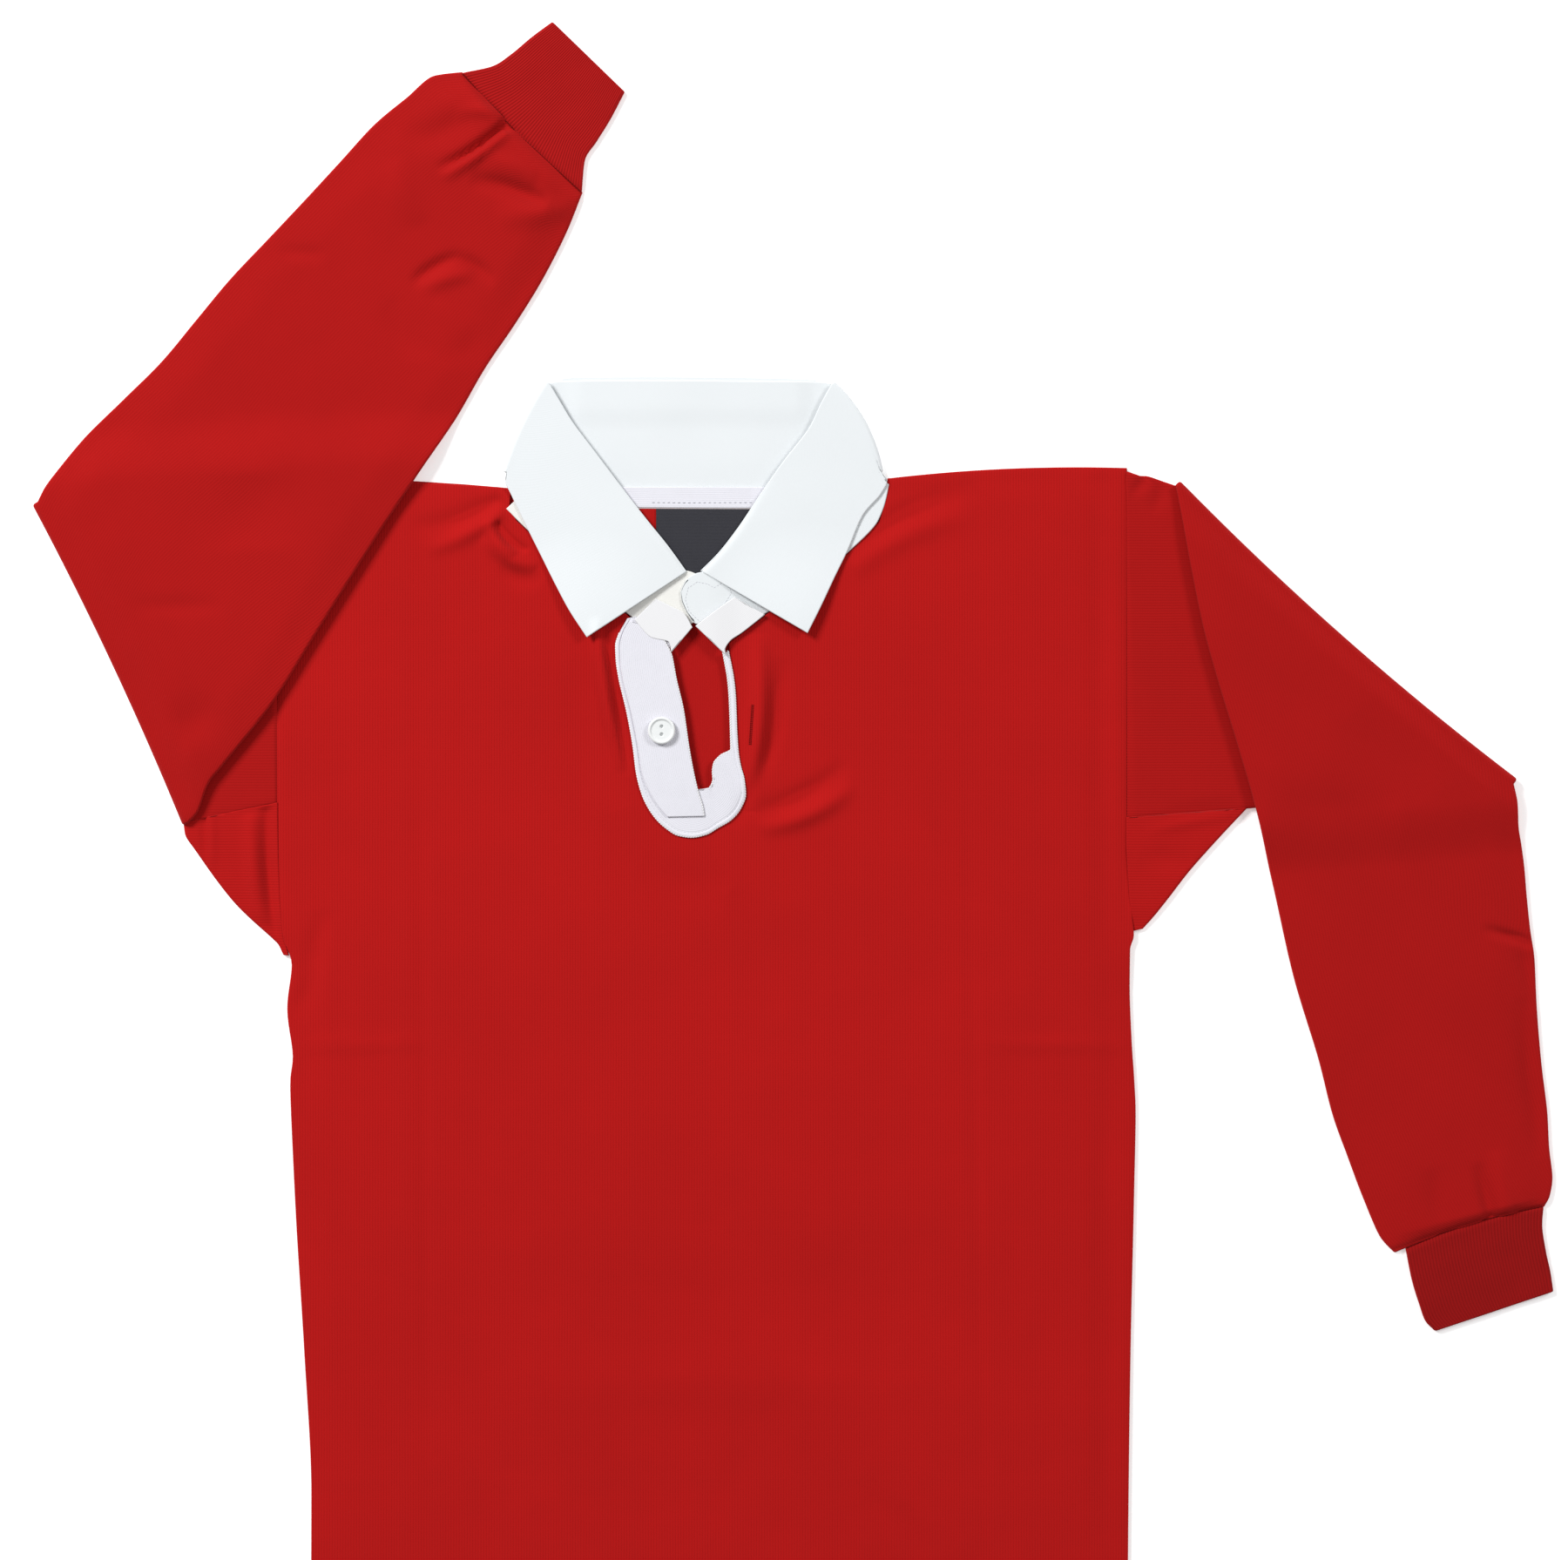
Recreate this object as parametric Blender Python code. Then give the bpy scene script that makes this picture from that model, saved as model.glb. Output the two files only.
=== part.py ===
"""Long-sleeved rugby shirt laid flat on a table, front up, with both sleeves folded over.

Tables and sizes are in millimetres, the meshes in metres. X runs across the shirt from the
wearer's right to the wearer's left, with 0 on the body's centre line. Y runs up the body, with 0
at the underarms. Z is the height above the table, with 0 on the underside of the back.
Right and left are the wearer's.
"""

import math
from collections import namedtuple

import bmesh
import bpy
import numpy as np

MM = 0.001

# Cloth
WALL = 1.2          # heavy rib knit and collar drill
TAPE = 1.0          # twill tape and woven label
GAP = 0.3           # between pieces that are sewn or lie on each other
LOFT = 1.3          # air under the front, away from the body's free edges
RIM = 25.0          # width over which the front comes down to a free edge
FRONT_LOW = WALL + GAP
LAYER = FRONT_LOW + LOFT + WALL     # top of the front, and height of a flattened tube

# Folded sleeves
FOLD_GAP = 0.5
FOLD_RADIUS = LAYER + FOLD_GAP / 2
DROP = LAYER + FOLD_GAP             # from lying on a sleeve or the body down to the table
DROP_MARGIN = 8.0
DROP_LENGTH = 40.0
WALL_POINTS = 8                     # across each wall of a sleeve
TURNS = 4                           # steps round a fold or a rounded edge

# Body
HEM_Y = -450.0
ARMHOLE_RIGHT_X = -289.0
ARMHOLE_LEFT_X = 277.2
SLIT_BOTTOM = (-4.5, 109.0)
BACK_BLEND_Y = 200.0                # above this the back's rows bend to its neckline
PANEL_SHARES = (0, 0.05, 0.12, 0.22, 0.34, 0.46, 0.58, 0.68, 0.77, 0.84, 0.9, 0.95, 1)

# Collar
LEAF_MID = LAYER + GAP + WALL / 2
COLLAR_FOLD_RADIUS = (LEAF_MID - WALL / 2) / 2
COLLAR_SHARES = (0, 0.25, 0.5, 0.75, 1)

# Button
BUTTON_RADIUS = 9.2
BUTTON_THICKNESS = 3.0
BUTTON_CENTRE = (-32.7, 151.5)
BUTTON_HOLE_RADIUS = 1.0
BUTTON_HOLE_OFFSET = 2.6
BUTTON_SIDES = 32

# A section of cloth between two edges. bow moves its middle sideways.
Span = namedtuple("Span", "x0 y0 x1 y1 bow", defaults=(0.0,))

# Front, right half: side edge, then centre line, slit and neckline, from hem to shoulder.
FRONT_RIGHT = (
    Span(-266.5, HEM_Y, 1.0, HEM_Y),
    Span(-266.2, -356.7, 1.0, -345.0),
    Span(-270.9, -262.7, 1.0, -240.0),
    Span(-276.7, -168.2, 0.5, -140.0),
    Span(-280.3, -85.0, 0.0, -55.0),
    Span(-278.6, -65.5, 0.0, -30.0),
    Span(-282.3, -34.0, -0.5, 5.0),
    Span(-279.3, -5.0, -1.5, 35.0),
    Span(-284.8, 13.9, -2.5, 62.0),
    Span(-287.1, 36.5, -3.0, 84.0),
    Span(-288.4, 70.0, -4.0, 101.0),
    Span(ARMHOLE_RIGHT_X, 102.7, *SLIT_BOTTOM),
    Span(ARMHOLE_RIGHT_X, 125.0, -13.2, 123.0),
    Span(ARMHOLE_RIGHT_X, 150.0, -17.8, 150.0),
    Span(ARMHOLE_RIGHT_X, 180.0, -24.7, 185.6),
    Span(ARMHOLE_RIGHT_X, 204.0, -29.5, 205.0),
    Span(ARMHOLE_RIGHT_X, 230.0, -54.5, 227.4),
    Span(ARMHOLE_RIGHT_X, 255.0, -88.0, 254.5),
    Span(ARMHOLE_RIGHT_X, 280.0, -121.2, 283.6),
    Span(ARMHOLE_RIGHT_X, 290.0, -129.3, 291.2),
    Span(ARMHOLE_RIGHT_X, 302.0, -137.5, 298.1),
    Span(ARMHOLE_RIGHT_X, 318.4, -137.0, 314.0, 1.5),
)

# Front, left half, in the same order.
FRONT_LEFT = (
    Span(277.5, HEM_Y, 1.0, HEM_Y),
    Span(278.3, -356.7, 1.0, -345.0),
    Span(279.6, -262.7, 1.0, -240.0),
    Span(281.9, -160.7, 0.5, -140.0),
    Span(283.0, -105.0, 0.0, -55.0),
    Span(282.0, -80.0, 0.0, -30.0),
    Span(280.5, -58.0, -0.5, 5.0),
    Span(279.0, -20.0, -1.5, 35.0),
    Span(279.2, 5.0, -2.5, 62.0),
    Span(281.7, 16.0, -3.0, 84.0),
    Span(279.3, 40.0, -4.0, 101.0),
    Span(277.3, 77.1, *SLIT_BOTTOM),
    Span(ARMHOLE_LEFT_X, 104.0, 5.5, 121.0),
    Span(ARMHOLE_LEFT_X, 128.0, 14.5, 139.0),
    Span(ARMHOLE_LEFT_X, 154.0, 14.6, 165.0),
    Span(ARMHOLE_LEFT_X, 180.0, 13.4, 187.0),
    Span(ARMHOLE_LEFT_X, 206.0, 11.9, 209.8),
    Span(ARMHOLE_LEFT_X, 230.0, 37.7, 229.4),
    Span(ARMHOLE_LEFT_X, 262.0, 91.1, 269.4),
    Span(ARMHOLE_LEFT_X, 288.0, 111.9, 291.0),
    Span(ARMHOLE_LEFT_X, 306.0, 116.4, 305.5),
    Span(ARMHOLE_LEFT_X, 326.5, 114.8, 319.0, -3.0),
)

# Soft folds that stand up in the front.
Fold = namedtuple("Fold", "x0 y0 x1 y1 width height")
FRONT_FOLDS = (
    Fold(-69.0, 205.0, -57.0, 150.0, 16.0, 1.6),    # beside the button band
    Fold(33.0, 190.0, 25.0, 112.0, 18.0, 1.2),      # beside the buttonhole
)

# Top edge of the back: shoulder, neckline, shoulder.
BACK_TOP = (
    (ARMHOLE_RIGHT_X, 318.4), (-245.0, 319.0), (-200.0, 318.0), (-165.0, 315.8), (-137.0, 313.5),
    (-118.0, 302.3), (-60.0, 299.6), (-17.0, 299.4), (27.0, 299.0), (60.0, 300.0), (95.0, 302.0),
    (114.5, 318.0), (155.0, 323.4), (200.0, 325.5), (240.0, 327.0), (ARMHOLE_LEFT_X, 326.5),
)
BACK_ROWS_Y = (
    HEM_Y, -356.7, -262.7, -165.0, -105.0, -80.0, -58.0, -34.0, -5.0, 14.0, 37.0, 73.0, 102.7,
    150.0, BACK_BLEND_Y, 250.0, 290.0, 320.0,
)

# A sleeve's flattened tube, from shoulder edge to underarm edge. turn is the angle that the tube
# has gone round its fold, 0 on the lower part and 180 on the part folded over.
Station = namedtuple("Station", "tx ty ux uy turn bow", defaults=(0, 0.0))

SLEEVE_RIGHT = (
    Station(-289.3, 318.2, -289.3, 102.9),
    Station(-330.0, 314.2, -303.0, 99.9),
    Station(-375.0, 309.9, -318.0, 96.6),
    Station(-415.0, 306.1, -331.0, 93.6),
    Station(-439.4, 304.5, -339.7, 91.7, 0, 1.5),
    Station(-447.9, 303.7, -347.7, 90.0, 0, 3.0),
    Station(-447.9, 303.7, -347.7, 90.0, 180, 3.0),
    Station(-443.5, 312.5, -341.8, 96.3, 180, 1.5),
    Station(-432.5, 327.5, -334.1, 116.0, 180),
    Station(-417.0, 346.8, -324.8, 128.0, 180),
    Station(-392.0, 371.5, -291.7, 169.4, 180),
    Station(-366.0, 397.3, -265.1, 211.7, 180),
    Station(-343.0, 425.0, -243.0, 247.1, 180),
    Station(-320.2, 452.4, -216.3, 289.4, 180),
    Station(-296.0, 478.0, -196.6, 319.0, 180),
    Station(-270.9, 504.6, -170.0, 359.0, 180),
    Station(-247.0, 530.5, -150.2, 393.2, 180),
    Station(-223.3, 556.2, -130.0, 423.0, 180),
    Station(-203.0, 573.0, -111.9, 452.4, 180),
    Station(-184.0, 588.0, -95.0, 486.0, 180),
    Station(-166.2, 590.4, -85.6, 509.8, 180),
)

SLEEVE_LEFT = (
    Station(277.5, 324.5, 277.5, 93.0),
    Station(280.5, 323.2, 340.0, 98.1),
    Station(283.5, 322.2, 405.0, 103.4),
    Station(286.3, 321.3, 468.0, 108.7),
    Station(290.0, 321.2, 522.1, 113.1, 0, -2.5),
    Station(309.3, 314.8, 534.2, 116.0, 0, -5.5),
    Station(309.3, 314.8, 534.2, 116.0, 180, -5.5),
    Station(312.2, 299.5, 536.8, 103.0, 180, -2.5),
    Station(319.0, 261.6, 537.7, 88.0, 180),
    Station(327.7, 219.2, 540.0, 75.0, 180),
    Station(338.0, 182.0, 542.0, 60.0, 180),
    Station(349.0, 146.0, 543.5, 42.0, 180),
    Station(361.9, 101.5, 545.8, 19.7, 180),
    Station(374.7, 47.0, 548.7, 0.0, 180),
    Station(388.0, -12.0, 550.4, -34.8, 180),
    Station(405.0, -68.5, 553.3, -69.6, 180),
    Station(414.1, -104.4, 557.4, -104.4, 180),
    Station(424.0, -132.0, 558.5, -126.0, 180),
    Station(434.5, -160.0, 560.7, -146.0, 180),
    Station(446.6, -187.0, 559.0, -158.0, 180),
    Station(455.0, -196.0, 555.5, -165.5, 180),
)

CUFF_RIGHT = (
    Station(-165.0, 591.1, -87.3, 513.0),
    Station(-145.0, 594.5, -84.0, 531.0),
    Station(-133.4, 602.0, -76.0, 544.0),
    Station(-119.0, 614.0, -67.0, 558.5),
    Station(-106.1, 623.5, -57.6, 576.5),
)

CUFF_LEFT = (
    Station(463.0, -194.4, 555.0, -166.2),
    Station(466.9, -214.6, 553.9, -178.0),
    Station(471.5, -229.7, 556.5, -196.0),
    Station(476.0, -242.0, 559.5, -210.0),
    Station(482.0, -248.2, 561.2, -221.6),
)

# Gussets, from the armhole to the folded underarm edge, top to tip.
GUSSET_RIGHT = (
    Span(-289.4, 102.3, -345.0, 90.1),
    Span(-289.2, 86.0, -348.0, 83.5),
    Span(-288.8, 70.0, -340.5, 69.0),
    Span(-287.5, 36.5, -317.0, 36.5),
    Span(-285.2, 13.9, -293.0, 14.0),
    Span(-283.9, 9.4, -288.6, 9.6),
    Span(-281.7, 1.5, -284.8, 2.0),
)
GUSSET_LEFT = (
    Span(277.6, 92.4, 357.5, 98.9),
    Span(277.6, 77.1, 337.0, 78.5),
    Span(278.6, 58.0, 318.0, 57.0),
    Span(279.7, 40.0, 304.5, 39.5),
    Span(281.1, 27.0, 294.0, 26.5),
    Span(282.2, 18.0, 287.5, 19.5),
)

# Collar: each span runs from the leaf's free edge, or the neck seam, to the roll or top edge.
LEAF_RIGHT = (
    Span(-82.4, 213.4, -16.0, 257.3),
    Span(-94.5, 232.0, -28.0, 274.0),
    Span(-103.8, 249.4, -43.0, 292.6),
    Span(-113.1, 268.0, -58.0, 312.0),
    Span(-123.5, 288.8, -75.0, 334.5),
    Span(-133.0, 308.6, -93.0, 358.5),
)
COLLAR_FOLD_RIGHT = Span(-136.3, 323.1, -107.9, 383.4, 2.3)
COLLAR_BACK = (
    Span(-126.0, 308.5, -101.0, 384.3),
    Span(-100.0, 302.6, -85.0, 384.7),
    Span(-60.0, 300.3, -55.0, 384.9),
    Span(-14.0, 300.0, -14.0, 384.9),
    Span(27.0, 299.8, 27.0, 384.4),
    Span(75.0, 302.7, 60.0, 384.2),
    Span(102.0, 310.5, 73.0, 383.9),
)
COLLAR_FOLD_LEFT = Span(112.4, 322.9, 80.5, 382.5, -5.4)
LEAF_LEFT = (
    Span(109.0, 309.1, 66.1, 354.4),
    Span(101.5, 295.2, 47.6, 330.0),
    Span(91.1, 271.4, 33.0, 309.1),
    Span(82.4, 253.5, 17.5, 286.0),
    Span(73.7, 234.9, 5.0, 270.0),
    Span(64.4, 216.2, -7.0, 257.9),
)

STAND_RIGHT = (
    Span(-136.4, 299.2, -112.0, 322.0),
    Span(-128.9, 291.7, -101.0, 315.0),
    Span(-120.9, 284.0, -94.0, 308.0),
    Span(-87.6, 255.0, -62.0, 281.0),
    Span(-58.0, 231.2, -38.0, 260.0),
    Span(-45.0, 222.8, -31.5, 247.3),
    Span(-29.0, 221.0, -27.0, 247.8),
    Span(-14.5, 221.0, -23.5, 247.0),
)
STAND_LEFT = (
    Span(115.9, 306.3, 93.0, 325.0),
    Span(111.4, 291.4, 84.0, 313.0),
    Span(90.8, 269.8, 66.0, 292.0),
    Span(62.0, 248.2, 38.0, 272.0),
    Span(37.2, 230.0, 18.0, 255.5),
    Span(22.0, 222.5, 9.3, 252.5),
    Span(4.0, 221.6, 2.0, 253.3),
    Span(-9.0, 222.2, -9.0, 252.6),
    Span(-15.6, 229.5, -16.0, 250.0),
    Span(-19.4, 237.5, -20.3, 244.0),
)

NECK_TAPE = (
    Span(-116.0, 303.6, -112.0, 316.5),
    Span(-60.0, 300.2, -60.0, 313.8),
    Span(-14.0, 299.9, -14.0, 313.8),
    Span(27.0, 299.7, 31.0, 313.8),
    Span(90.0, 303.4, 86.0, 316.5),
)
NECK_LABEL = (
    Span(-36.5, 249.0, -36.5, 299.3),
    Span(-14.0, 249.0, -14.0, 299.3),
    Span(8.0, 249.0, 8.0, 299.2),
    Span(29.5, 249.0, 29.5, 299.1),
)

# Placket: each span runs from the outer edge to the slit.
FACING = (
    Span(-55.6, 226.2, -52.2, 225.0),
    Span(-60.9, 216.3, -46.8, 219.6),
    Span(-63.2, 208.2, -39.8, 212.3),
    Span(-63.0, 201.5, -28.4, 209.4),
    Span(-62.6, 196.0, -26.7, 202.8),
    Span(-60.9, 185.6, -23.2, 185.6),
    Span(-55.7, 163.6, -18.6, 166.0),
    Span(-51.6, 140.9, -14.9, 141.0),
    Span(-49.3, 123.0, -11.6, 123.0),
    Span(-45.2, 107.9, -8.6, 112.4),
    Span(-37.7, 94.5, -6.4, 112.6),
    Span(-30.2, 87.0, -4.8, 112.8),
    Span(-21.5, 81.8, -3.2, 113.1),
    Span(-12.8, 80.6, -1.9, 113.4),
    Span(-3.5, 82.4, -0.6, 113.8),
    Span(4.5, 86.9, 0.3, 114.8),
    Span(13.3, 92.2, 1.0, 116.6),
    Span(19.7, 99.8, 1.6, 119.0),
    Span(22.9, 109.0, 1.3, 124.0),
    Span(22.0, 118.9, 2.1, 129.5),
    Span(19.7, 127.6, 6.6, 134.9),
    Span(18.2, 136.0, 13.5, 139.4),
    Span(17.2, 150.0, 13.3, 150.0),
    Span(16.2, 174.6, 12.4, 174.6),
    Span(15.1, 185.6, 11.4, 185.6),
    Span(12.4, 198.6, 8.8, 198.2),
)
BAND = (
    Span(-60.5, 207.0, -29.2, 208.0),
    Span(-60.2, 196.0, -26.4, 202.0),
    Span(-58.7, 185.6, -23.2, 185.6),
    Span(-53.2, 163.6, -18.6, 166.0),
    Span(-48.6, 140.9, -14.9, 141.0),
    Span(-45.8, 123.0, -11.6, 123.0),
    Span(-40.5, 110.0, -8.5, 110.0),
    Span(-34.5, 100.5, -5.8, 101.5),
    Span(-29.0, 94.0, -4.6, 94.5),
)
TAB_RIGHT = (
    Span(-51.0, 225.2, -36.5, 239.3),
    Span(-39.4, 213.3, -27.5, 234.7),
    Span(-28.0, 210.4, -18.0, 229.7),
    Span(-26.2, 203.6, -12.2, 220.2),
)
TAB_LEFT = (
    Span(-10.2, 221.0, 10.4, 201.2),
    Span(-4.0, 226.0, 9.6, 205.5),
    Span(4.0, 232.0, 12.8, 211.0),
    Span(10.0, 236.3, 21.0, 216.8),
    Span(15.7, 240.3, 36.0, 228.6),
)


def smooth(t):
    """0 below 0, 1 above 1, and a smooth step between."""
    t = np.clip(t, 0.0, 1.0)
    return t * t * (3.0 - 2.0 * t)


def along(span, shares):
    """Points at these shares of a span, bowed sideways in its middle."""
    start = np.array([span.x0, span.y0])
    run = np.array([span.x1, span.y1]) - start
    side = np.array([-run[1], run[0]]) / np.linalg.norm(run)
    shares = np.asarray(shares, float)[:, None]
    return start + run * shares + side * span.bow * 4.0 * shares * (1.0 - shares)


def segment_distance(points, start, end):
    """Distance from each point to a segment, and how far along it the nearest point lies, 0 to 1."""
    start = np.asarray(start, float)
    run = np.asarray(end, float) - start
    share = np.clip(((points - start) @ run) / (run @ run), 0.0, 1.0)
    nearest = start + share[..., None] * run
    return np.linalg.norm(points - nearest, axis=-1), share


def edge_distance(points, line):
    """Distance from each point to an open line of points."""
    found = [segment_distance(points, a, b)[0] for a, b in zip(line[:-1], line[1:])]
    return np.min(found, axis=0)


def free_edges():
    """The body's edges where front and back come together: below the underarms and the shoulders."""
    edges = []
    for half in (FRONT_RIGHT, FRONT_LEFT):
        side = [(row.x0, row.y0) for row in half if row.y0 < 0.0]
        edges.append([(half[0].x1, half[0].y1)] + side)
        edges.append(along(half[-1], PANEL_SHARES[:-1]))
    return edges


def front_middle(points):
    """Height of the middle of the front's wall at each (x, y)."""
    distance = np.min([edge_distance(points, line) for line in free_edges()], axis=0)
    height = FRONT_LOW + WALL / 2 + LOFT * smooth(distance / RIM)
    for fold in FRONT_FOLDS:
        away, share = segment_distance(points, (fold.x0, fold.y0), (fold.x1, fold.y1))
        across = 1.0 - smooth(away / fold.width)
        lengthwise = np.sin(math.pi * np.clip(share, 0.08, 0.92))
        height += fold.height * across * lengthwise
    return height


def with_height(flat, height):
    """Flat (x, y) points given a height each, or one height for all."""
    heights = np.broadcast_to(height, flat.shape[:-1])[..., None]
    return np.concatenate([flat, heights], axis=-1)


def finish(name, mesh_builder, colour, roughness):
    """Names the piece, gives it its material and shades it smooth."""
    mesh = bpy.data.meshes.new(name)
    bmesh.ops.remove_doubles(mesh_builder, verts=mesh_builder.verts, dist=1e-7)
    bmesh.ops.recalc_face_normals(mesh_builder, faces=mesh_builder.faces)
    mesh_builder.to_mesh(mesh)
    mesh_builder.free()
    mesh.shade_smooth()
    mesh.set_sharp_from_angle(angle=math.radians(40.0))
    mesh.materials.append(material(name, colour, roughness))
    piece = bpy.data.objects.new(name, mesh)
    bpy.context.scene.collection.objects.link(piece)
    return piece


def material(name, colour, roughness):
    """A non-metallic Principled material of this sRGB colour, 0 to 255."""
    made = bpy.data.materials.new(name)
    made.use_nodes = True
    shader = made.node_tree.nodes["Principled BSDF"]
    linear = [((c / 255 + 0.055) / 1.055) ** 2.4 for c in colour]
    shader.inputs["Base Color"].default_value = (*linear, 1.0)
    shader.inputs["Roughness"].default_value = roughness
    shader.inputs["Metallic"].default_value = 0.0
    made.diffuse_color = (*linear, 1.0)
    return made


def add_grid(builder, grid, closed=False):
    """Faces between the rows of a grid of points in millimetres. closed joins each row's ends."""
    verts = [[builder.verts.new(point * MM) for point in row] for row in grid]
    columns = len(verts[0])
    for lower, upper in zip(verts[:-1], verts[1:]):
        for i in range(columns if closed else columns - 1):
            j = (i + 1) % columns
            builder.faces.new((lower[i], lower[j], upper[j], upper[i]))
    return verts


def cloth(name, grids, thickness, colour, roughness):
    """Cloth whose middle surface is these grids, with its wall added to both sides."""
    builder = bmesh.new()
    for grid in grids:
        add_grid(builder, grid)
    piece = finish(name, builder, colour, roughness)
    wall = piece.modifiers.new("wall", "SOLIDIFY")
    wall.thickness = thickness * MM
    wall.offset = 0.0
    wall.use_even_offset = True
    return piece


def patch(spans, steps, height):
    """A grid with a row for each span. height is a number, or a function of the flat points."""
    shares = np.linspace(0.0, 1.0, steps + 1)
    flat = np.array([along(span, shares) for span in spans])
    return with_height(flat, height(flat) if callable(height) else height)


def raised(lift):
    """Height of a piece whose middle lies this far above the middle of the front's wall."""
    return lambda flat: front_middle(flat) + lift


def ring_loops(width, height, wall):
    """Outer and inner loop of a flattened tube: (across, up) points, with rounded edges."""
    loops = []
    for inset in (0.0, wall):
        radius = height / 2 - inset
        across = np.linspace(height / 2, width - height / 2, WALL_POINTS)
        bend = np.linspace(-math.pi / 2, math.pi / 2, TURNS + 1)[1:-1]
        far = np.stack([across[-1] + radius * np.cos(bend), height / 2 + radius * np.sin(bend)], 1)
        near = np.stack([across[0] - radius * np.cos(bend), height / 2 - radius * np.sin(bend)], 1)
        low = np.stack([across, np.full(WALL_POINTS, inset)], 1)
        high = np.stack([across[::-1], np.full(WALL_POINTS, height - inset)], 1)
        loops.append(np.concatenate([low, far, high, near]))
    return loops


def fold_turns(stations):
    """The stations, with steps added where the tube goes round its fold."""
    rows = []
    for before, after in zip(stations, stations[1:] + stations[-1:]):
        rows.append(before)
        if after.turn > before.turn:
            steps = np.linspace(before.turn, after.turn, TURNS + 1)[1:-1]
            rows.extend(before._replace(turn=float(turn)) for turn in steps)
    return rows


def place_ring(station, loop, outward):
    """A ring's (across, up) points in the row frame, turned round the fold by the station's turn."""
    shoulder = np.array([station.tx, station.ty])
    underarm = np.array([station.ux, station.uy])
    width = np.linalg.norm(underarm - shoulder)
    bent = Span(*shoulder, *underarm, station.bow)
    flat = along(bent, loop[:, 0] / width)
    turn = math.radians(station.turn)
    reach = FOLD_RADIUS - loop[:, 1]
    flat += np.outer(reach * math.sin(turn), outward)
    return with_height(flat, FOLD_RADIUS - reach * math.cos(turn))


def tube(name, outer, inner, colour, roughness):
    """A tube open at both ends, between an outer and an inner grid of rings."""
    builder = bmesh.new()
    skins = [add_grid(builder, grid, closed=True) for grid in (outer, inner)]
    for end in (0, -1):
        outside, inside = skins[0][end], skins[1][end]
        for i in range(len(outside)):
            j = (i + 1) % len(outside)
            builder.faces.new((outside[i], outside[j], inside[j], inside[i]))
    return finish(name, builder, colour, roughness)


def sleeve(name, stations, support, colour, roughness):
    """A sleeve whose far part is folded over. support is how far each point lies off what is under it."""
    rows = fold_turns(stations)
    fold = next(row for row in rows if row.turn > 0)
    run = np.array([fold.ux - fold.tx, fold.uy - fold.ty])
    outward = np.array([run[1], -run[0]]) / np.linalg.norm(run)
    if outward @ np.array([fold.tx - stations[0].tx, 0.0]) < 0:
        outward = -outward
    skins = ([], [])
    for row in rows:
        width = math.hypot(row.ux - row.tx, row.uy - row.ty)
        for skin, loop in zip(skins, ring_loops(width, LAYER, WALL)):
            ring = place_ring(row, loop, outward)
            if row.turn == 180:
                off = (support(ring[:, :2]) - DROP_MARGIN) / DROP_LENGTH
                ring[:, 2] -= DROP * smooth(off)
            skin.append(ring)
    return tube(name, np.array(skins[0]), np.array(skins[1]), colour, roughness)


def past_right_shoulder(flat):
    """How far a point lies above the shoulder line and the right sleeve's shoulder edge."""
    start, end = SLEEVE_RIGHT[0], SLEEVE_RIGHT[5]
    slope = (start.ty - end.ty) / (start.tx - end.tx)
    line = start.ty + np.minimum(flat[:, 0] - start.tx, 0.0) * slope
    return flat[:, 1] - line


def past_left_underarm(flat):
    """How far a point lies below the left sleeve's underarm edge."""
    start, end = SLEEVE_LEFT[0], SLEEVE_LEFT[5]
    slope = (end.uy - start.uy) / (end.ux - start.ux)
    return start.uy + (flat[:, 0] - start.ux) * slope - flat[:, 1]


def cuff(name, stations, colour, roughness):
    """A ribbed tube lying flat on the table."""
    skins = ([], [])
    for row in stations:
        width = math.hypot(row.ux - row.tx, row.uy - row.ty)
        for skin, loop in zip(skins, ring_loops(width, LAYER, WALL)):
            skin.append(with_height(along(Span(*row[:4]), loop[:, 0] / width), loop[:, 1]))
    return tube(name, np.array(skins[0]), np.array(skins[1]), colour, roughness)


def gusset(name, spans, colour, roughness):
    """A diamond folded in half: two walls joined by a rounded free edge, open at the armhole."""
    skins = []
    for span in spans:
        width = math.hypot(span.x1 - span.x0, span.y1 - span.y0)
        height = 2 * WALL + GAP + LOFT * smooth(width / RIM)
        loops = []
        for inset in (0.0, WALL):
            radius = height / 2 - inset
            across = np.linspace(0.0, width - height / 2, 4)
            bend = np.linspace(-math.pi / 2, math.pi / 2, TURNS + 1)[1:-1]
            edge = np.stack([across[-1] + radius * np.cos(bend), height / 2 + radius * np.sin(bend)], 1)
            low = np.stack([across, np.full(len(across), inset)], 1)
            high = np.stack([across[::-1], np.full(len(across), height - inset)], 1)
            loops.append(np.concatenate([low, edge, high]))
        section = np.concatenate([loops[0], loops[1][::-1]])
        skins.append(with_height(along(span, section[:, 0] / width), section[:, 1]))
    builder = bmesh.new()
    verts = add_grid(builder, np.array(skins), closed=True)
    half = len(verts[0]) // 2
    for row in (verts[0], verts[-1]):
        for i in range(half - 1):
            builder.faces.new((row[i], row[i + 1], row[-2 - i], row[-1 - i]))
    return finish(name, builder, colour, roughness)


def body_front(colour, roughness):
    halves = []
    for half in (FRONT_RIGHT, FRONT_LEFT):
        flat = np.array([along(row, PANEL_SHARES) for row in half])
        halves.append(with_height(flat, front_middle(flat)))
    return cloth("body_front", halves, WALL, colour, roughness)


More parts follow.
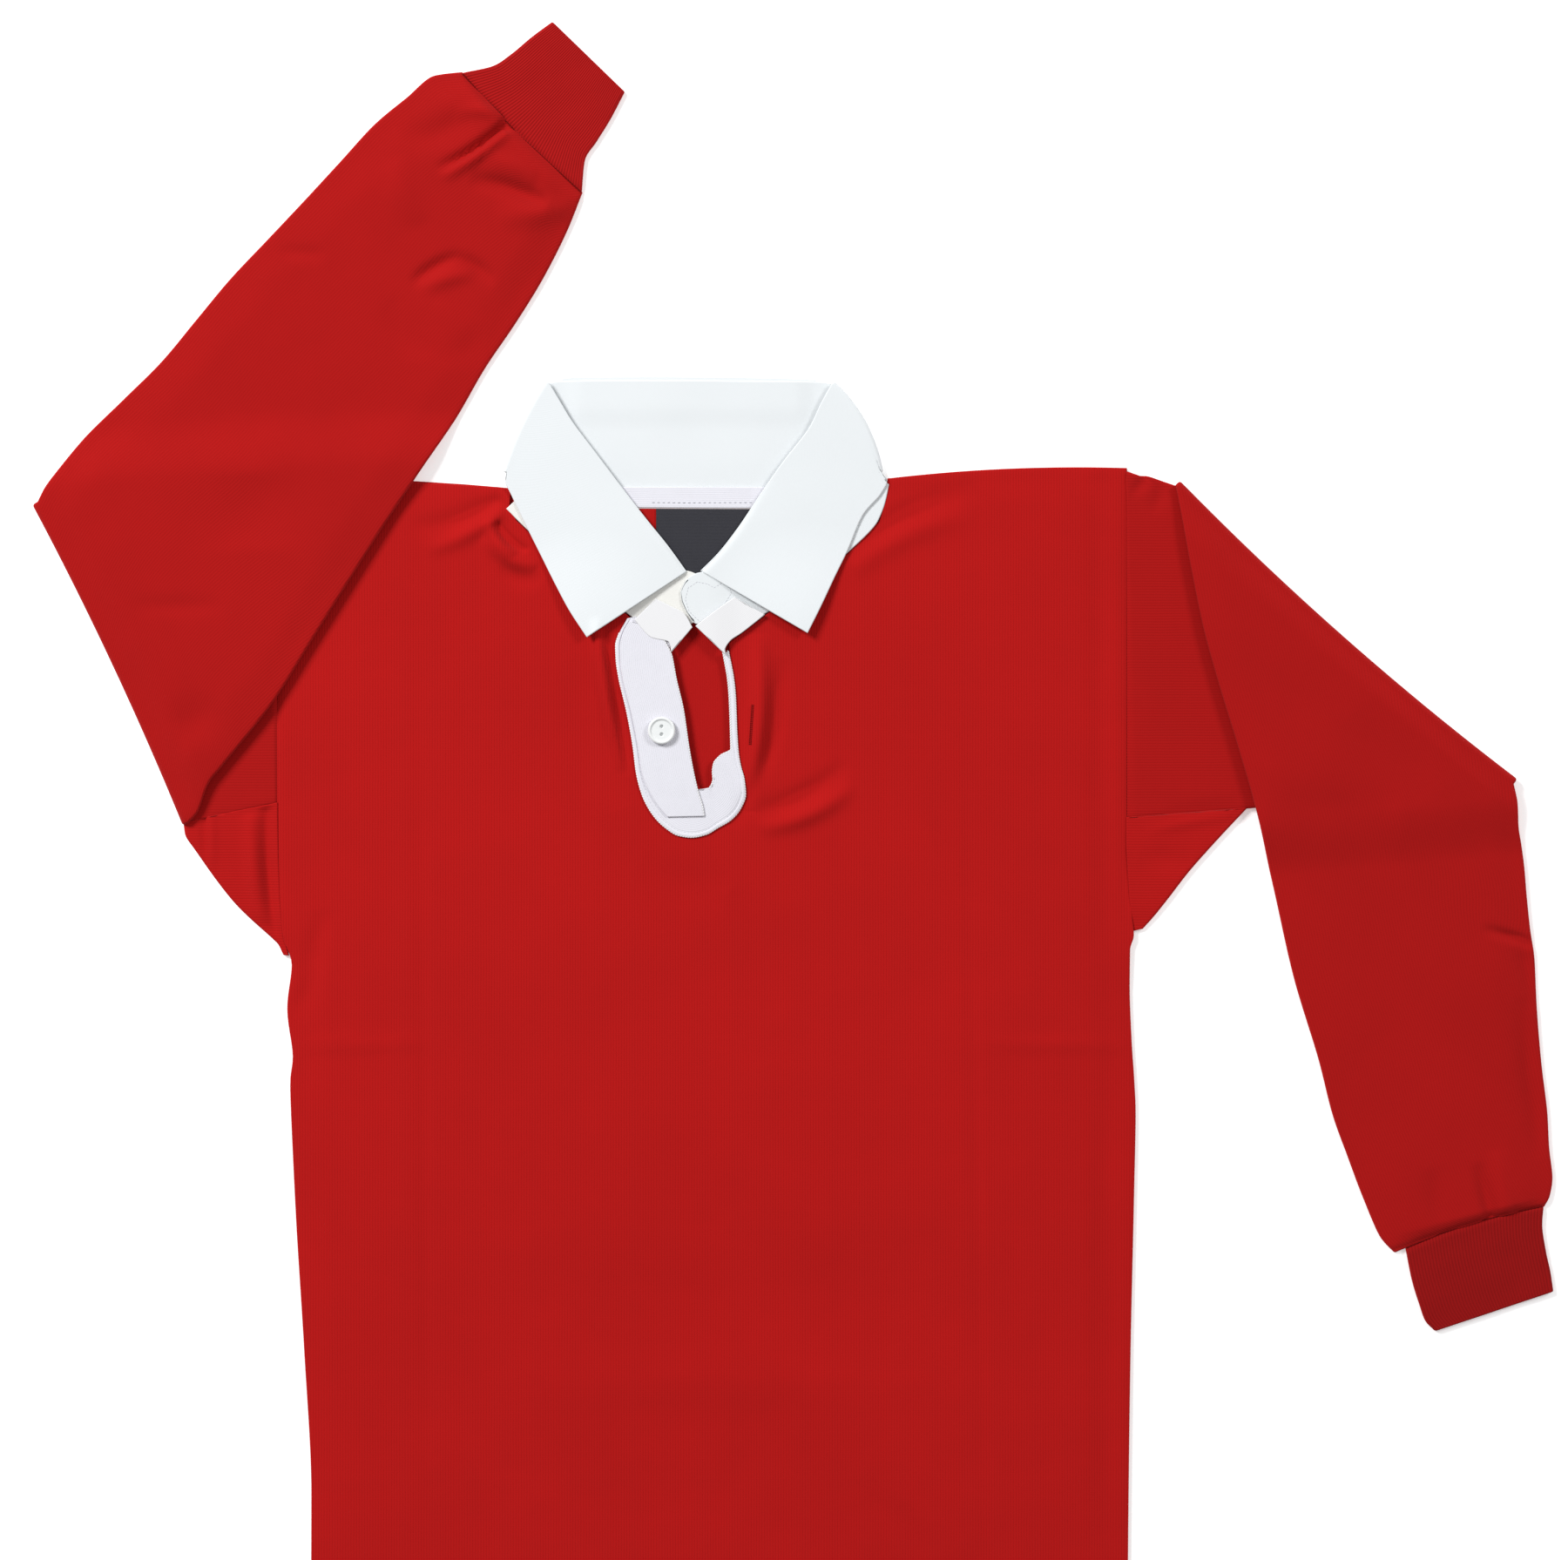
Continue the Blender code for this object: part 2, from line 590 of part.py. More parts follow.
def body_back(colour, roughness):
    top = np.array(BACK_TOP)
    right = np.array([(row.y0, row.x0) for row in FRONT_RIGHT])
    left = np.array([(row.y0, row.x0) for row in FRONT_LEFT])
    shares = (top[:, 0] - top[0, 0]) / (top[-1, 0] - top[0, 0])
    rows = []
    for y in BACK_ROWS_Y:
        x_right = np.interp(y, right[:, 0], right[:, 1])
        x_left = np.interp(y, left[:, 0], left[:, 1])
        x = x_right + (x_left - x_right) * shares
        rise = max(0.0, y - BACK_BLEND_Y) / (BACK_ROWS_Y[-1] - BACK_BLEND_Y)
        ys = min(y, BACK_BLEND_Y) + (top[:, 1] - BACK_BLEND_Y) * rise
        rows.append(np.stack([x, ys, np.full(len(x), WALL / 2)], 1))
    return cloth("body_back", [np.array(rows)], WALL, colour, roughness)


def collar(colour, roughness):
    """One strip: right leaf, over the fold, the back part, over the other fold, left leaf."""
    shares = np.array(COLLAR_SHARES)
    rows = [with_height(along(span, shares), LEAF_MID) for span in LEAF_RIGHT]
    for fold, steps in ((COLLAR_FOLD_RIGHT, (180, 135, 90, 45, 0)), (COLLAR_FOLD_LEFT, (0, 45, 90, 135, 180))):
        run = np.array([fold.x1 - fold.x0, fold.y1 - fold.y0])
        outward = np.array([run[1], -run[0]]) / np.linalg.norm(run)
        if outward[0] * fold.x0 < 0:
            outward = -outward
        line = along(fold, shares)
        for degrees in steps:
            turn = math.radians(degrees)
            out = line + outward * COLLAR_FOLD_RADIUS * math.sin(turn)
            rise = WALL / 2 + COLLAR_FOLD_RADIUS * (1.0 - math.cos(turn))
            rows.append(with_height(out, rise))
        if fold is COLLAR_FOLD_RIGHT:
            rows += [with_height(along(span, shares), WALL / 2) for span in COLLAR_BACK]
    rows += [with_height(along(span, shares), LEAF_MID) for span in LEAF_LEFT]
    return cloth("collar", [np.array(rows)], WALL, colour, roughness)


def button(colour, roughness):
    """A turned disc with a raised rim, pierced by two thread holes."""
    base = float(front_middle(np.array([BUTTON_CENTRE]))[0]) + WALL / 2 + 2 * (GAP + TAPE) + GAP
    profile = (
        (0.0, 0.0), (0.72, 0.0), (0.94, 0.3), (1.0, 0.62), (0.96, 0.9), (0.88, 1.0),
        (0.79, 0.93), (0.72, 0.72), (0.0, 0.68),
    )
    builder = bmesh.new()
    points = [(r * BUTTON_RADIUS, h * BUTTON_THICKNESS) for r, h in profile]
    verts = [builder.verts.new((r * MM, 0.0, h * MM)) for r, h in points]
    edges = [builder.edges.new(pair) for pair in zip(verts[:-1], verts[1:])]
    bmesh.ops.spin(
        builder, geom=verts + edges, cent=(0, 0, 0), axis=(0, 0, 1),
        angle=2 * math.pi, steps=BUTTON_SIDES, use_merge=True,
    )
    place = (BUTTON_CENTRE[0] * MM, BUTTON_CENTRE[1] * MM, base * MM)
    bmesh.ops.translate(builder, verts=builder.verts, vec=place)
    piece = finish("button", builder, colour, roughness)
    for sign in (-1, 1):
        cut = bmesh.new()
        bmesh.ops.create_cone(
            cut, cap_ends=True, segments=12, radius1=BUTTON_HOLE_RADIUS * MM,
            radius2=BUTTON_HOLE_RADIUS * MM, depth=4 * BUTTON_THICKNESS * MM,
        )
        bmesh.ops.translate(
            cut, verts=cut.verts, vec=(place[0], place[1] + sign * BUTTON_HOLE_OFFSET * MM, place[2])
        )
        cutter = finish(f"button_hole_{sign + 1}", cut, colour, roughness)
        cutter.hide_render = True
        cutter.display_type = "WIRE"
        hole = piece.modifiers.new("thread hole", "BOOLEAN")
        hole.object = cutter
        hole.operation = "DIFFERENCE"
        hole.solver = "EXACT"
    return piece


def clear_scene():
    for obj in list(bpy.data.objects):
        bpy.data.objects.remove(obj, do_unlink=True)


RED = (184, 26, 27)
RIB_RED = (156, 20, 22)
DRILL_WHITE = (238, 241, 244)
TWILL_WHITE = (233, 231, 241)
TAB_WHITE = (243, 242, 244)
LABEL_GREY = (58, 58, 66)
BUTTON_WHITE = (240, 241, 243)
KNIT_ROUGHNESS = 0.9
DRILL_ROUGHNESS = 0.85


def main():
    clear_scene()
    body_back(RED, KNIT_ROUGHNESS)
    body_front(RED, KNIT_ROUGHNESS)
    sleeve("sleeve_right", SLEEVE_RIGHT, past_right_shoulder, RED, KNIT_ROUGHNESS)
    sleeve("sleeve_left", SLEEVE_LEFT, past_left_underarm, RED, KNIT_ROUGHNESS)
    gusset("gusset_right", GUSSET_RIGHT, RED, KNIT_ROUGHNESS)
    gusset("gusset_left", GUSSET_LEFT, RED, KNIT_ROUGHNESS)
    cuff("cuff_right", CUFF_RIGHT, RIB_RED, KNIT_ROUGHNESS)
    cuff("cuff_left", CUFF_LEFT, RIB_RED, KNIT_ROUGHNESS)
    collar(DRILL_WHITE, DRILL_ROUGHNESS)

    in_layer = LAYER - WALL / 2
    on_back = WALL + GAP + TAPE / 2
    on_front = WALL / 2 + GAP + TAPE / 2
    tabs_mid = LAYER + GAP + TAPE / 2
    strips = (
        ("collar_stand_right", STAND_RIGHT, 3, in_layer, WALL, DRILL_WHITE),
        ("collar_stand_left", STAND_LEFT, 3, in_layer, WALL, DRILL_WHITE),
        ("neck_tape", NECK_TAPE, 1, on_back, TAPE, TWILL_WHITE),
        ("neck_label", NECK_LABEL, 3, on_back, TAPE, LABEL_GREY),
        ("placket_facing", FACING, 3, raised(on_front), TAPE, TWILL_WHITE),
        ("placket_band", BAND, 3, raised(on_front + GAP + TAPE), TAPE, TWILL_WHITE),
        ("placket_tab_right", TAB_RIGHT, 2, tabs_mid, TAPE, TAB_WHITE),
        ("placket_tab_left", TAB_LEFT, 2, tabs_mid, TAPE, TAB_WHITE),
    )
    for name, spans, steps, height, thickness, colour in strips:
        cloth(name, [patch(spans, steps, height)], thickness, colour, DRILL_ROUGHNESS)
    button(BUTTON_WHITE, 0.4)


main()
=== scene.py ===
"""A rugby shirt laid flat on a table, front up, with both sleeves folded over.

Tables and sizes are in millimetres, the meshes in metres. X runs across the shirt from the
wearer's right to the wearer's left, with 0 on the body's centre line. Y runs up the body, with 0
at the underarms. Z is the height above the table. Right and left are the wearer's.
"""

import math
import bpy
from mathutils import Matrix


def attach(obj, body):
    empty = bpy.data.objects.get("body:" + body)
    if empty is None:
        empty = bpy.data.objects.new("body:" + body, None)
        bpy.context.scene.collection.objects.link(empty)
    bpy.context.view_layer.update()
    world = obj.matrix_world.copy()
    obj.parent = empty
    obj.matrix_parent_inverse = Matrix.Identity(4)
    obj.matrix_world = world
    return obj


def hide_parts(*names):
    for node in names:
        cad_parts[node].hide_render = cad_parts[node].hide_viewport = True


bl_info = {
    "name": "Rugby shirt",
    "version": (1, 0, 0),
    "blender": (4, 5, 0),
    "location": "3D View > Sidebar > Shirt",
    "description": "Builds a long-sleeved rugby shirt laid flat, piece by piece",
    "category": "Add Mesh",
}

from collections import namedtuple
from functools import partialmethod

import bpy
import numpy as np

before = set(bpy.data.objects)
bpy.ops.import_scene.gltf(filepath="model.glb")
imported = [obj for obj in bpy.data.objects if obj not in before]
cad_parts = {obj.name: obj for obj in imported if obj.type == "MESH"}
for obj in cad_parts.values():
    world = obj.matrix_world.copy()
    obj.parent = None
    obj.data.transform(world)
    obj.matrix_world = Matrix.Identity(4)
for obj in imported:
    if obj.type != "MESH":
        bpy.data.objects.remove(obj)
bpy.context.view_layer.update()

MM = 0.001
ROOT = "root"

# Layers, as in the solids: the cloths' thicknesses, the gap between two of them, how far the front
# rises within the rim at its edge, and the folded sleeve's drop to the table, which begins the
# margin past the edge of what it lies on. No trough is deeper than the deepest.
WALL = 1.2
TAPE = 1.0
GAP = 0.3
LOFT = 1.3
RIM = 25.0
FRONT_LOW = WALL + GAP
LAYER = FRONT_LOW + LOFT + WALL
FOLD_GAP = 0.5
FOLD_RADIUS = LAYER + FOLD_GAP / 2
DROP = LAYER + FOLD_GAP
DROP_MARGIN = 8.0
DROP_LENGTH = 40.0
DEEPEST = -1.4
LEAF_MID = LAYER + GAP + WALL / 2

# Body
HEM_Y = -450.0
ARMHOLE_RIGHT_X = -289.0
ARMHOLE_LEFT_X = 277.2
SLIT_BOTTOM = (-4.5, 109.0)
BACK_BLEND_Y = 200.0

# Button
BUTTON_RADIUS = 9.2
BUTTON_THICKNESS = 3.0
BUTTON_CENTRE = (-32.7, 151.5)
BUTTON_HOLE_RADIUS = 1.05
BUTTON_HOLE_OFFSET = 2.6

# A span runs across a flat piece, and a station across a flattened tube. Both bow sideways.
Span = namedtuple("Span", "x0 y0 x1 y1 bow", defaults=(0,))
Station = namedtuple("Station", "tx ty ux uy turn bow", defaults=(0, 0))
# A crease is a line, how far its middle bows to the left of it, its half width, and its height,
# minus for a trough. start is the share of the height that is already there at the first point.
Crease = namedtuple("Crease", "x0 y0 x1 y1 bow width height start", defaults=(0,))


def table_of(kind):
    """A function that makes a table of this kind of row."""
    return lambda *rows: tuple(kind(*map(float, row)) for row in rows)


spans, stations, creases = map(table_of, (Span, Station, Crease))

# Front, right half: side edge, then centre line, slit and neckline, from hem to shoulder.
FRONT_RIGHT = spans(
    (-266.5, HEM_Y, 1, HEM_Y), (-266.2, -356.7, 1, -345), (-270.9, -262.7, 1, -240),
    (-276.7, -168.2, 0.5, -140), (-280.3, -85, 0, -55), (-278.6, -65.5, 0, -30),
    (-282.3, -34, -0.5, 5), (-279.3, -5, -1.5, 35), (-284.8, 13.9, -2.5, 62),
    (-287.1, 36.5, -3, 84), (-288.4, 70, -4, 101), (ARMHOLE_RIGHT_X, 102.7, *SLIT_BOTTOM),
    (ARMHOLE_RIGHT_X, 125, -13.2, 123), (ARMHOLE_RIGHT_X, 150, -17.8, 150),
    (ARMHOLE_RIGHT_X, 180, -24.7, 185.6), (ARMHOLE_RIGHT_X, 204, -29.5, 205),
    (ARMHOLE_RIGHT_X, 230, -54.5, 227.4), (ARMHOLE_RIGHT_X, 255, -88, 254.5),
    (ARMHOLE_RIGHT_X, 280, -121.2, 283.6), (ARMHOLE_RIGHT_X, 290, -129.3, 291.2),
    (ARMHOLE_RIGHT_X, 302, -134.5, 299.5), (ARMHOLE_RIGHT_X, 318.4, -132.5, 313, 1.5),
)

# Front, left half, in the same order.
FRONT_LEFT = spans(
    (277.5, HEM_Y, 1, HEM_Y), (278.3, -356.7, 1, -345), (279.6, -262.7, 1, -240),
    (281.9, -160.7, 0.5, -140), (283, -105, 0, -55), (282, -80, 0, -30), (280.5, -58, -0.5, 5),
    (279, -20, -1.5, 35), (279.2, 5, -2.5, 62), (281.7, 16, -3, 84), (279.3, 40, -4, 101),
    (277.3, 77.1, *SLIT_BOTTOM), (ARMHOLE_LEFT_X, 104, 5.5, 121), (ARMHOLE_LEFT_X, 128, 14.5, 139),
    (ARMHOLE_LEFT_X, 154, 14.6, 165), (ARMHOLE_LEFT_X, 180, 13.4, 187),
    (ARMHOLE_LEFT_X, 206, 11.9, 209.8), (ARMHOLE_LEFT_X, 230, 37.7, 229.4),
    (ARMHOLE_LEFT_X, 262, 91.1, 269.4), (ARMHOLE_LEFT_X, 288, 111.9, 291),
    (ARMHOLE_LEFT_X, 306, 116.4, 305.5), (ARMHOLE_LEFT_X, 326.5, 117.5, 319.5, -3),
)
SLIT_ROW = 11

# Top edge of the back: shoulder, neckline, shoulder.
BACK_TOP = (
    (ARMHOLE_RIGHT_X, 318.4), (-245.0, 319.0), (-200.0, 318.0), (-165.0, 315.8), (-137.0, 313.5),
    (-118.0, 302.3), (-60.0, 299.6), (-17.0, 299.4), (27.0, 299.0), (60.0, 300.0), (95.0, 302.0),
    (114.5, 318.0), (155.0, 323.4), (200.0, 325.5), (240.0, 327.0), (ARMHOLE_LEFT_X, 326.5),
)

# A sleeve's flattened tube, from shoulder edge to underarm edge. turn is the angle that the tube
# has gone round its fold, 0 on the lower part and 180 on the part folded over.
SLEEVE_RIGHT = stations(
    (-288.4, 318.2, -288.4, 102.9), (-330, 314.2, -303, 99.9), (-375, 309.9, -318, 96.6),
    (-415, 306.1, -331, 93.6), (-439.4, 304.5, -339.7, 91.7, 0, 1.5),
    (-447.9, 303.7, -347.7, 90, 0, 3), (-447.9, 303.7, -347.7, 90, 180, 3),
    (-443.5, 312.5, -341.8, 96.3, 180, 1.5), (-432.5, 327.5, -334.1, 116, 180),
    (-417, 346.8, -324.8, 128, 180), (-392, 371.5, -291.7, 169.4, 180),
    (-366, 397.3, -265.1, 211.7, 180), (-343, 425, -243, 247.1, 180),
    (-320.2, 452.4, -216.3, 289.4, 180), (-296, 478, -196.6, 319, 180),
    (-270.9, 504.6, -170, 359, 180), (-247, 530.5, -150.2, 393.2, 180),
    (-223.3, 556.2, -130, 423, 180), (-203, 573, -111.9, 452.4, 180),
    (-184, 588, -95, 486, 180, -1), (-166.2, 590.4, -85.6, 509.8, 180, -2.2),
)

SLEEVE_LEFT = stations(
    (276.5, 324.5, 276.5, 93), (280.5, 323.2, 340, 98.1), (283.5, 322.2, 405, 103.4),
    (286.3, 321.3, 468, 108.7), (290, 321.2, 522.1, 113.1, 0, -2.5),
    (309.3, 314.8, 534.2, 116, 0, -5.5), (309.3, 314.8, 534.2, 116, 180, -5.5),
    (312.2, 299.5, 536.8, 103, 180, -2.5), (319, 261.6, 537.7, 88, 180),
    (327.7, 219.2, 540, 75, 180), (338, 182, 542, 60, 180), (349, 146, 543.5, 42, 180),
    (361.9, 101.5, 545.8, 19.7, 180), (374.7, 47, 548.7, 0, 180), (388, -12, 550.4, -34.8, 180),
    (405, -68.5, 553.3, -69.6, 180), (414.1, -104.4, 557.4, -104.4, 180),
    (424, -132, 558.5, -126, 180), (434.5, -160, 560.7, -146, 180),
    (446.6, -187, 559, -158, 180, 1.5), (455, -196, 555.5, -165.5, 180, 3),
)

CUFF_RIGHT = stations(
    (-166, 589.7, -86, 510.4, 0, -2.2), (-145, 594.5, -84, 531, 0, -0.8), (-133.4, 602, -76, 544),
    (-119, 614, -67, 558.5), (-106.1, 623.5, -57.6, 576.5),
)

CUFF_LEFT = stations(
    (462.6, -193, 554.8, -165, 0, 3), (466.9, -214.6, 553.9, -178, 0, 1),
    (471.5, -229.7, 556.5, -196), (476, -242, 559.5, -210), (482, -248.2, 561.2, -221.6),
)

# Gussets, from the armhole to the folded underarm edge, top to tip.
GUSSET_RIGHT = spans(
    (-288.5, 103.7, -351.5, 91), (-288.3, 86, -350.5, 83), (-288, 70, -341.5, 69),
    (-286.7, 36.5, -317, 36.5), (-284.2, 13.9, -293, 14), (-282.9, 9.4, -288.6, 9.6),
    (-281.1, 1.5, -284.8, 2),
)
GUSSET_LEFT = spans(
    (276.6, 94, 357.5, 100.4), (276.6, 77.1, 337, 78.5), (277.6, 58, 318, 57),
    (278.8, 40, 304.5, 39.5), (280.3, 27, 294, 26.5), (281.6, 18, 287.5, 19.5),
)

# Collar: each span runs from the leaf's free edge, or the neck seam, to the roll or top edge.
LEAF_RIGHT = spans(
    (-82.4, 213.4, -16, 257.3), (-94.5, 232, -28, 274), (-103.8, 249.4, -43, 292.6),
    (-113.1, 268, -58, 312), (-123.5, 288.8, -75, 334.5), (-133, 308.6, -93, 358.5),
    (-137, 317.5, -100.5, 371),
)
COLLAR_FOLD_RIGHT = Span(-136.3, 323.1, -107.9, 383.4, 2.3)
COLLAR_BACK = spans(
    (-126, 308.5, -101, 384.3), (-100, 302.6, -85, 384.7), (-60, 300.3, -55, 384.9),
    (-14, 300, -14, 384.9), (27, 299.8, 27, 384.4), (75, 302.7, 60, 384.2), (102, 310.5, 73, 383.9),
)
COLLAR_FOLD_LEFT = Span(112.4, 322.9, 80.5, 382.5, -5.4)
LEAF_LEFT = spans(
    (117.3, 317, 73.5, 370), (113, 308.6, 66.1, 354.4), (101.5, 295.2, 47.6, 330),
    (91.1, 271.4, 33, 309.1), (82.4, 253.5, 17.5, 286), (73.7, 234.9, 5, 270),
    (64.4, 216.2, -7, 257.9),
)

COLLAR_SECOND_PLY = spans(
    (-99, 371, -99, 386.2), (-90, 371, -90, 387), (-40, 371, -40, 387.4), (20, 371, 20, 386.9),
    (62, 371, 62, 385.8), (70, 371, 70, 385),
)

STAND_RIGHT = spans(
    (-136.4, 299.2, -112, 322), (-128.9, 291.7, -101, 315), (-120.9, 284, -94, 308),
    (-87.6, 255, -62, 281), (-58, 231.2, -38, 260), (-45, 222.8, -33, 258), (-29, 221, -25, 258.5),
    (-15.5, 222, -16, 258), (-8, 225, -8.5, 255.5),
)
STAND_LEFT = spans(
    (118.6, 315.5, 97, 331), (116.6, 305.5, 93, 325), (111.4, 291.4, 84, 313),
    (90.8, 269.8, 66, 292), (62, 248.2, 38, 272), (37.2, 230, 18, 255.5), (22, 222.5, 9.3, 257),
    (4, 221.6, 2, 258), (-9, 222.2, -9, 256.5), (-15.6, 229.5, -16.5, 251.5),
    (-19.4, 237.5, -20.3, 244),
)

NECK_TAPE = spans(
    (-116, 303.6, -112, 316.5), (-60, 300.2, -60, 313.8), (-14, 299.9, -14, 313.8),
    (27, 299.7, 31, 313.8), (90, 303.4, 86, 316.5),
)
NECK_LABEL = spans(
    (-36.5, 249, -36.5, 299.3), (-14, 249, -14, 299.3), (8, 249, 8, 299.2),
    (29.5, 249, 29.5, 299.1),
)

# Placket: each span runs from the outer edge to the slit.
FACING = spans(
    (-55.6, 226.2, -50, 227.5), (-60.9, 216.3, -44.5, 222.5), (-63.2, 208.2, -37, 216),
    (-63, 201.5, -27.5, 212), (-62.6, 196, -26.7, 202.8), (-60.9, 185.6, -23.2, 185.6),
    (-55.7, 163.6, -18.6, 166), (-51.6, 140.9, -14.9, 141), (-49.3, 123, -11.6, 123),
    (-45.2, 107.9, -8.6, 112.4), (-37.7, 94.5, -6.4, 112.6), (-30.2, 87, -4.8, 112.8),
    (-21.5, 81.8, -3.2, 113.1), (-12.8, 80.6, -1.9, 113.4), (-3.5, 82.4, -0.6, 113.8),
    (4.5, 86.9, 0.3, 114.8), (13.3, 92.2, 1, 116.6), (19.7, 99.8, 1.6, 119), (22.9, 109, 1.3, 124),
    (22, 118.9, 2.1, 129.5), (19.7, 127.6, 6.6, 134.9), (18.2, 136, 13.5, 139.4),
    (17.2, 150, 13.3, 150), (16.2, 174.6, 12.4, 174.6), (15.1, 185.6, 11.4, 185.6),
    (11.6, 204, 8.2, 203.6),
)
BAND = spans(
    (-54, 224.5, -42.5, 222), (-58.4, 216.5, -33.5, 215), (-60.5, 207, -29.2, 208),
    (-60.2, 196, -26.4, 202), (-58.7, 185.6, -23.2, 185.6), (-53.2, 163.6, -18.6, 166),
    (-48.6, 140.9, -14.9, 141), (-45.8, 123, -11.6, 123), (-40.5, 110, -8.5, 110),
    (-34.5, 100.5, -5.8, 101.5), (-29, 94, -4.6, 94.5),
)
TAB_RIGHT = spans(
    (-51, 225.2, -36.5, 239.3), (-39.4, 213.3, -27.5, 234.7), (-28, 210.4, -18, 229.7),
    (-26.2, 203.6, -12.2, 220.2),
)
TAB_LEFT = spans(
    (-10.2, 221, 10.4, 201.2), (-4, 226, 9.6, 205.5), (4, 232, 12.8, 211), (10, 236.3, 21, 216.8),
    (15.7, 240.3, 36, 228.6),
)

FRONT_CREASES = creases(
    # beside the placket
    (-77, 226, -59, 124, -1.5, 3, 3.4), (-69.5, 216, -54.5, 122, -1.5, 2.2, -2.4),
    (-90, 200, -58, 100, -8, 12, -0.7), (31, 216, 26, 98, 4, 6, 3.6),
    (47, 200, 14, 86, 8, 5.5, -1.9), (28, 97, 92, 131, -5, 6, -1.2), (30, 86, 96, 116, -6, 6, 1.9),
    # below it
    (-46, 64, 12, 45, -4, 14, -0.6), (12, 44, 44, -42, 4, 10, -0.7),
    # drawn in at the neck's right end
    (-142, 304, -200, 286, 3, 7, -1.4, 0.8), (-141, 297, -190, 271, 3, 5.5, 1.7, 0.7),
    (-142, 289, -121, 271, -3, 3, -2.4, 0.6), (-148, 289, -130, 268, -3, 4, 2.2, 0.4),
    (-152, 281, -116, 260, -4, 5, 2), (-141, 260, -112, 251.5, -3, 6, -0.8),
    # and at its left end
    (93, 270, 180, 312, 7, 8, -1.2, 0.6), (98, 262, 176, 296, 5, 8, 1.2, 0.6),
    # along the left side
    (258, 318, 263, -62, 0, 8, -1, 0.3), (263, -50, 261, -420, 0, 8, -1.2),
    # at the right underarm
    (-258, 32, -266, -38, -3, 6, -1.1), (-273, -16, -276, -44, 0, 5, -0.6),
    # from having been folded in a pack
    (-195, 193, -187, -410, 0, 4, -0.45), (170.5, 155, 184, -405, 0, 4, -0.45),
    (174.5, 120, 188, -405, 0, 3.5, 0.3), (-281, -58, -186, -57, 0, 4, 0.5),
    (176, -57, 284, -58, 0, 4, 0.5), (-210, -228, 210, -230, 4, 32, -0.9),
    (-160, -286, 160, -284, 3, 15, 0.6), (104, -357, 146, -403, 5, 8, -0.6),
)
SLEEVE_RIGHT_CREASES = creases(
    # drawn in at the cuff seam
    (-134, 556.5, -182, 525, 2.5, 2.9, -3.8, 0.9), (-138, 550, -180, 519, 2, 3.8, 2.2, 0.6),
    (-138, 562, -170, 562, -2, 5, 1, 0.7), (-158, 561, -206, 545, 3, 10, -1.2, 0.3),
    (-113, 503.5, -160, 519, -2, 5, -2.4, 0.4), (-92, 501, -143, 494, 2, 8, 1.3, 0.3),
    (-120, 520, -150, 533, -2, 6, 0.9, 0.5), (-211, 532, -194, 488, -3, 9, 0.8),
    # dents lower down
    (-199, 449, -167, 468, 2, 3.2, -1.8), (-173, 467, -144, 449, 3, 3.6, -1.3),
    (-192, 445, -157, 456, 2, 4.5, 1.1), (-214, 440, -186, 400, -9, 9, -0.4),
    (-186, 400, -152, 420, -7, 9, -0.4), (-184, 424, -170, 434, 0, 18, 0.4),
    # faint ones
    (-288, 471, -256, 468, 0, 4, -0.6), (-306, 322, -304, 272, 0, 26, -1),
    (-386, 234, -322, 234, 0, 5, -0.5), (-358, 148, -324, 168, 0, 14, -0.9),
)
SLEEVE_LEFT_CREASES = creases(
    (520, -174, 510, -136, 0, 4.5, -1.5, 0.8), (530, -170, 522, -128, 0, 6, 0.8, 0.6),
    (490, -182, 480, -140, 2, 7, -0.7, 0.6), (539, -26, 553, -132, 0, 7, -0.8),
    (548, 9.5, 514, 20, 0, 3.5, -1.3, 0.6), (540, 4, 551, -36, 3, 7, -1.1, 0.3),
    (370, 97, 458, 93, 0, 18, -0.9), (430, 165, 480, 110, 4, 18, -0.5),
)
SLEEVE_LEFT_LOWER_CREASES = creases(
    (289, 320, 279, 309, 1, 3, -1.3, 0.9), (301, 318, 293, 296, 1.5, 4, -0.9, 0.7),
    (348, 101, 300, 97, 0, 4, -0.7, 0.6),
)
GUSSET_RIGHT_CREASES = creases(
    (-296, 98, -289.5, 10, -2, 4, -2.2, 0.6), (-306, 92, -298, 22, -2, 5, 2, 0.4),
    (-337.5, 99, -336, 58, 0, 2, -1.1, 0.9), (-333, 98, -332, 58, 0, 3, 0.8, 0.7),
)
GUSSET_LEFT_CREASES = creases(
    (290, 84, 352, 96, 1, 4, 0.5), (285, 66, 322, 62, 2, 8, -0.5),
)


# ---- sizes and colours that a user would change ----


def number_property(name, description, default, **others):
    """A number that isn't below 0."""
    return bpy.props.FloatProperty(
        name=name, description=description, default=default, min=0.0, **others
    )


def length_property(name, description, default):
    """A length in metres."""
    return number_property(name, description, default, precision=5, unit="LENGTH")


def colour_property(name, description, default):
    """A colour in linear light."""
    return bpy.props.FloatVectorProperty(
        name=name, description=description, default=default, size=3, min=0.0, max=1.0,
        subtype="COLOR",
    )


